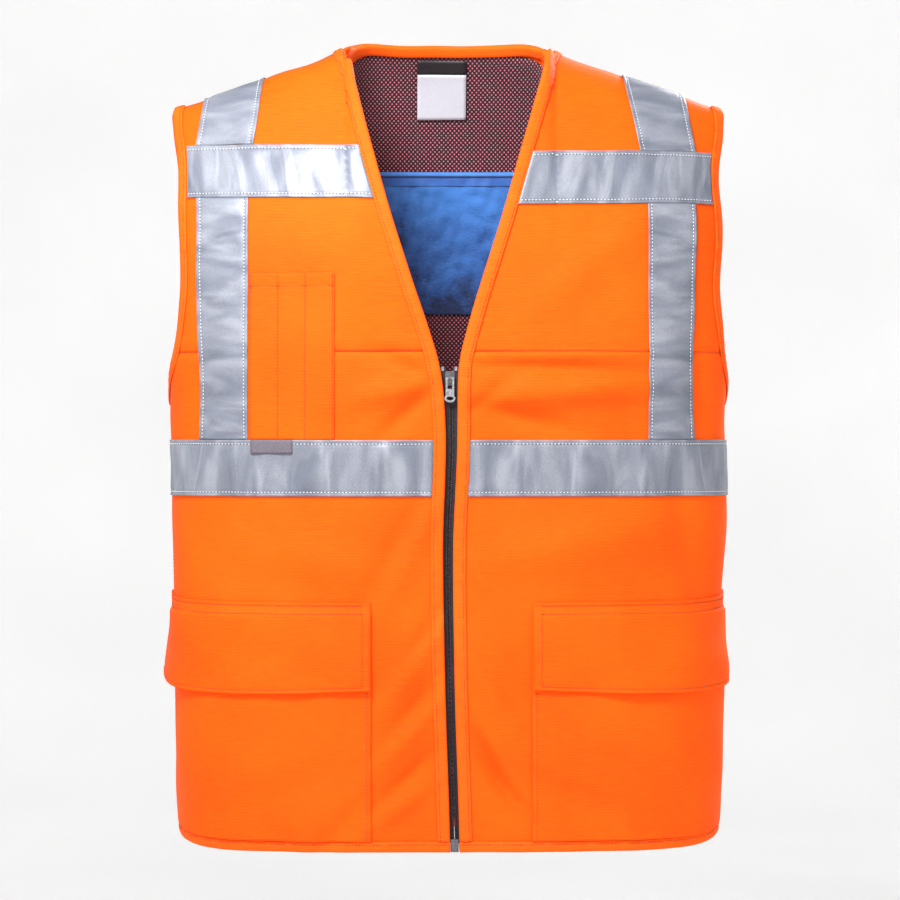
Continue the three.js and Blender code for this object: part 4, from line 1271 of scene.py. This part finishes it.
def make_room():
    """Pale floor that curves up all round the vest, like a wide dish."""
    flat_reach, curve, tall = 4.0, 2.0, 4.4
    bm = bmesh.new()
    bmesh.ops.create_circle(bm, cap_ends=False, segments=96, radius=flat_reach)
    rim = bm.edges[:]
    bmesh.ops.edgenet_fill(bm, edges=rim)
    for step in range(1, 13):
        angle = step / 12 * math.pi / 2
        grown = bmesh.ops.extrude_edge_only(bm, edges=rim)["geom"]
        rim = [item for item in grown if isinstance(item, bmesh.types.BMEdge)]
        for vert in {vert for edge in rim for vert in edge.verts}:
            away = vert.co.to_2d().normalized() * (flat_reach + curve * math.sin(angle))
            vert.co = (away.x, away.y, tall * (1 - math.cos(angle)))
    bmesh.ops.recalc_face_normals(bm, faces=bm.faces[:])
    bmesh.ops.translate(bm, verts=bm.verts[:], vec=(0, 0, -(HEM_DROP + 420) * MM))
    floor = shown("studio_floor", bm)
    material, tree = new_tree("painted_floor")
    place = add(tree, "TexCoord", output="Object")
    cloud = add(tree, "TexNoise", {"Vector": place, "Scale": 2.0, "Detail": 3.0})
    colour = add(tree, "ValToRGB", {"Fac": cloud}, stops=[(0.3, "f4f4f4"), (0.7, "fafafa")])
    surface(tree, colour, {"Roughness": 0.9}, glow=0.42)
    floor.data.materials.append(material)


def make_lights():
    """Soft lights aimed at the chest, and a faint even light from all round."""
    world = bpy.data.worlds.new("studio")
    bpy.context.scene.world = world
    world.use_nodes = True
    world.node_tree.nodes["Background"].inputs["Color"].default_value = linear("ffffff")
    world.node_tree.nodes["Background"].inputs["Strength"].default_value = 0.12
    for name, place, size, power in [
        ("key", (-0.36, -0.82, 0.46), 0.35, 24),
        ("fill", (1.3, -1.4, 0.5), 0.8, 4),
        ("top", (0.1, -0.3, 1.5), 0.6, 4),
        ("back", (0.7, 0.9, 0.4), 0.35, 20),
    ]:
        data = bpy.data.lights.new(name, "AREA")
        data.size = size
        data.energy = power
        lamp = bpy.data.objects.new(name, data)
        lamp.location = place
        lamp.visible_camera = False
        lamp.rotation_euler = (Vector((0, 0, -0.12)) - Vector(place)).to_track_quat("-Z", "Y").to_euler()
        bpy.context.scene.collection.objects.link(lamp)


def make_camera():
    """The photograph is taken level, from 3.25 m, a little to the wearer's left of straight in front."""
    distance, azimuth, eye = 3.25, math.radians(-1.5), -0.332
    back = Vector((math.sin(azimuth), -math.cos(azimuth), 0))
    data = bpy.data.cameras.new("camera")
    data.lens = 148.85
    data.shift_x = 1.5 / 900
    data.shift_y = -20 / 900
    data.clip_start, data.clip_end = 0.05, 50
    camera = bpy.data.objects.new("camera", data)
    camera.location = back * distance + Vector((0, 0, eye))
    camera.rotation_mode = "QUATERNION"
    camera.rotation_quaternion = (-back).to_track_quat("-Z", "Y")
    bpy.context.scene.collection.objects.link(camera)
    bpy.context.scene.camera = camera
    bpy.context.scene.view_settings.view_transform = "Standard"


TAPE_STITCHES, TAPE_HOLE_SHADES, CLOTH_STITCHES, BINDING_STITCHES = (bmesh.new() for _ in range(4))
for side in SIDES:
    make_front_shell(side)
make_back()
make_cooling_panel()
make_bindings()
for side in SIDES:
    make_side_tapes(side)
make_back_waist_tape()
make_pen_pocket()
for side in SIDES:
    make_patch_pocket(side)
make_labels()
for side in SIDES:
    make_zip_cloth(side)
make_coil()
dress(shown("tape_stitches", TAPE_STITCHES), THREAD_LIGHT, "reflective_tape")
dress(shown("tape_needle_hole_painted_shades", TAPE_HOLE_SHADES), NEEDLE_HOLE_PAINTED_SHADE, "reflective_tape")
dress(shown("cloth_stitches", CLOTH_STITCHES), THREAD_ORANGE_IN_PAINTED_SHADE, "orange_cloth")
dress(shown("binding_stitches", BINDING_STITCHES), THREAD_ORANGE_IN_PAINTED_SHADE, "orange_binding")
make_room()
make_lights()
make_camera()

for name, material in [
    ("zip_slider", GUNMETAL), ("zip_pull", SILVER), ("zip_box", GUNMETAL), ("zip_stop_left", SILVER),
    ("zip_stop_right", SILVER),
]:
    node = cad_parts[name]
    node.data.materials.clear()
    node.data.materials.append(material)
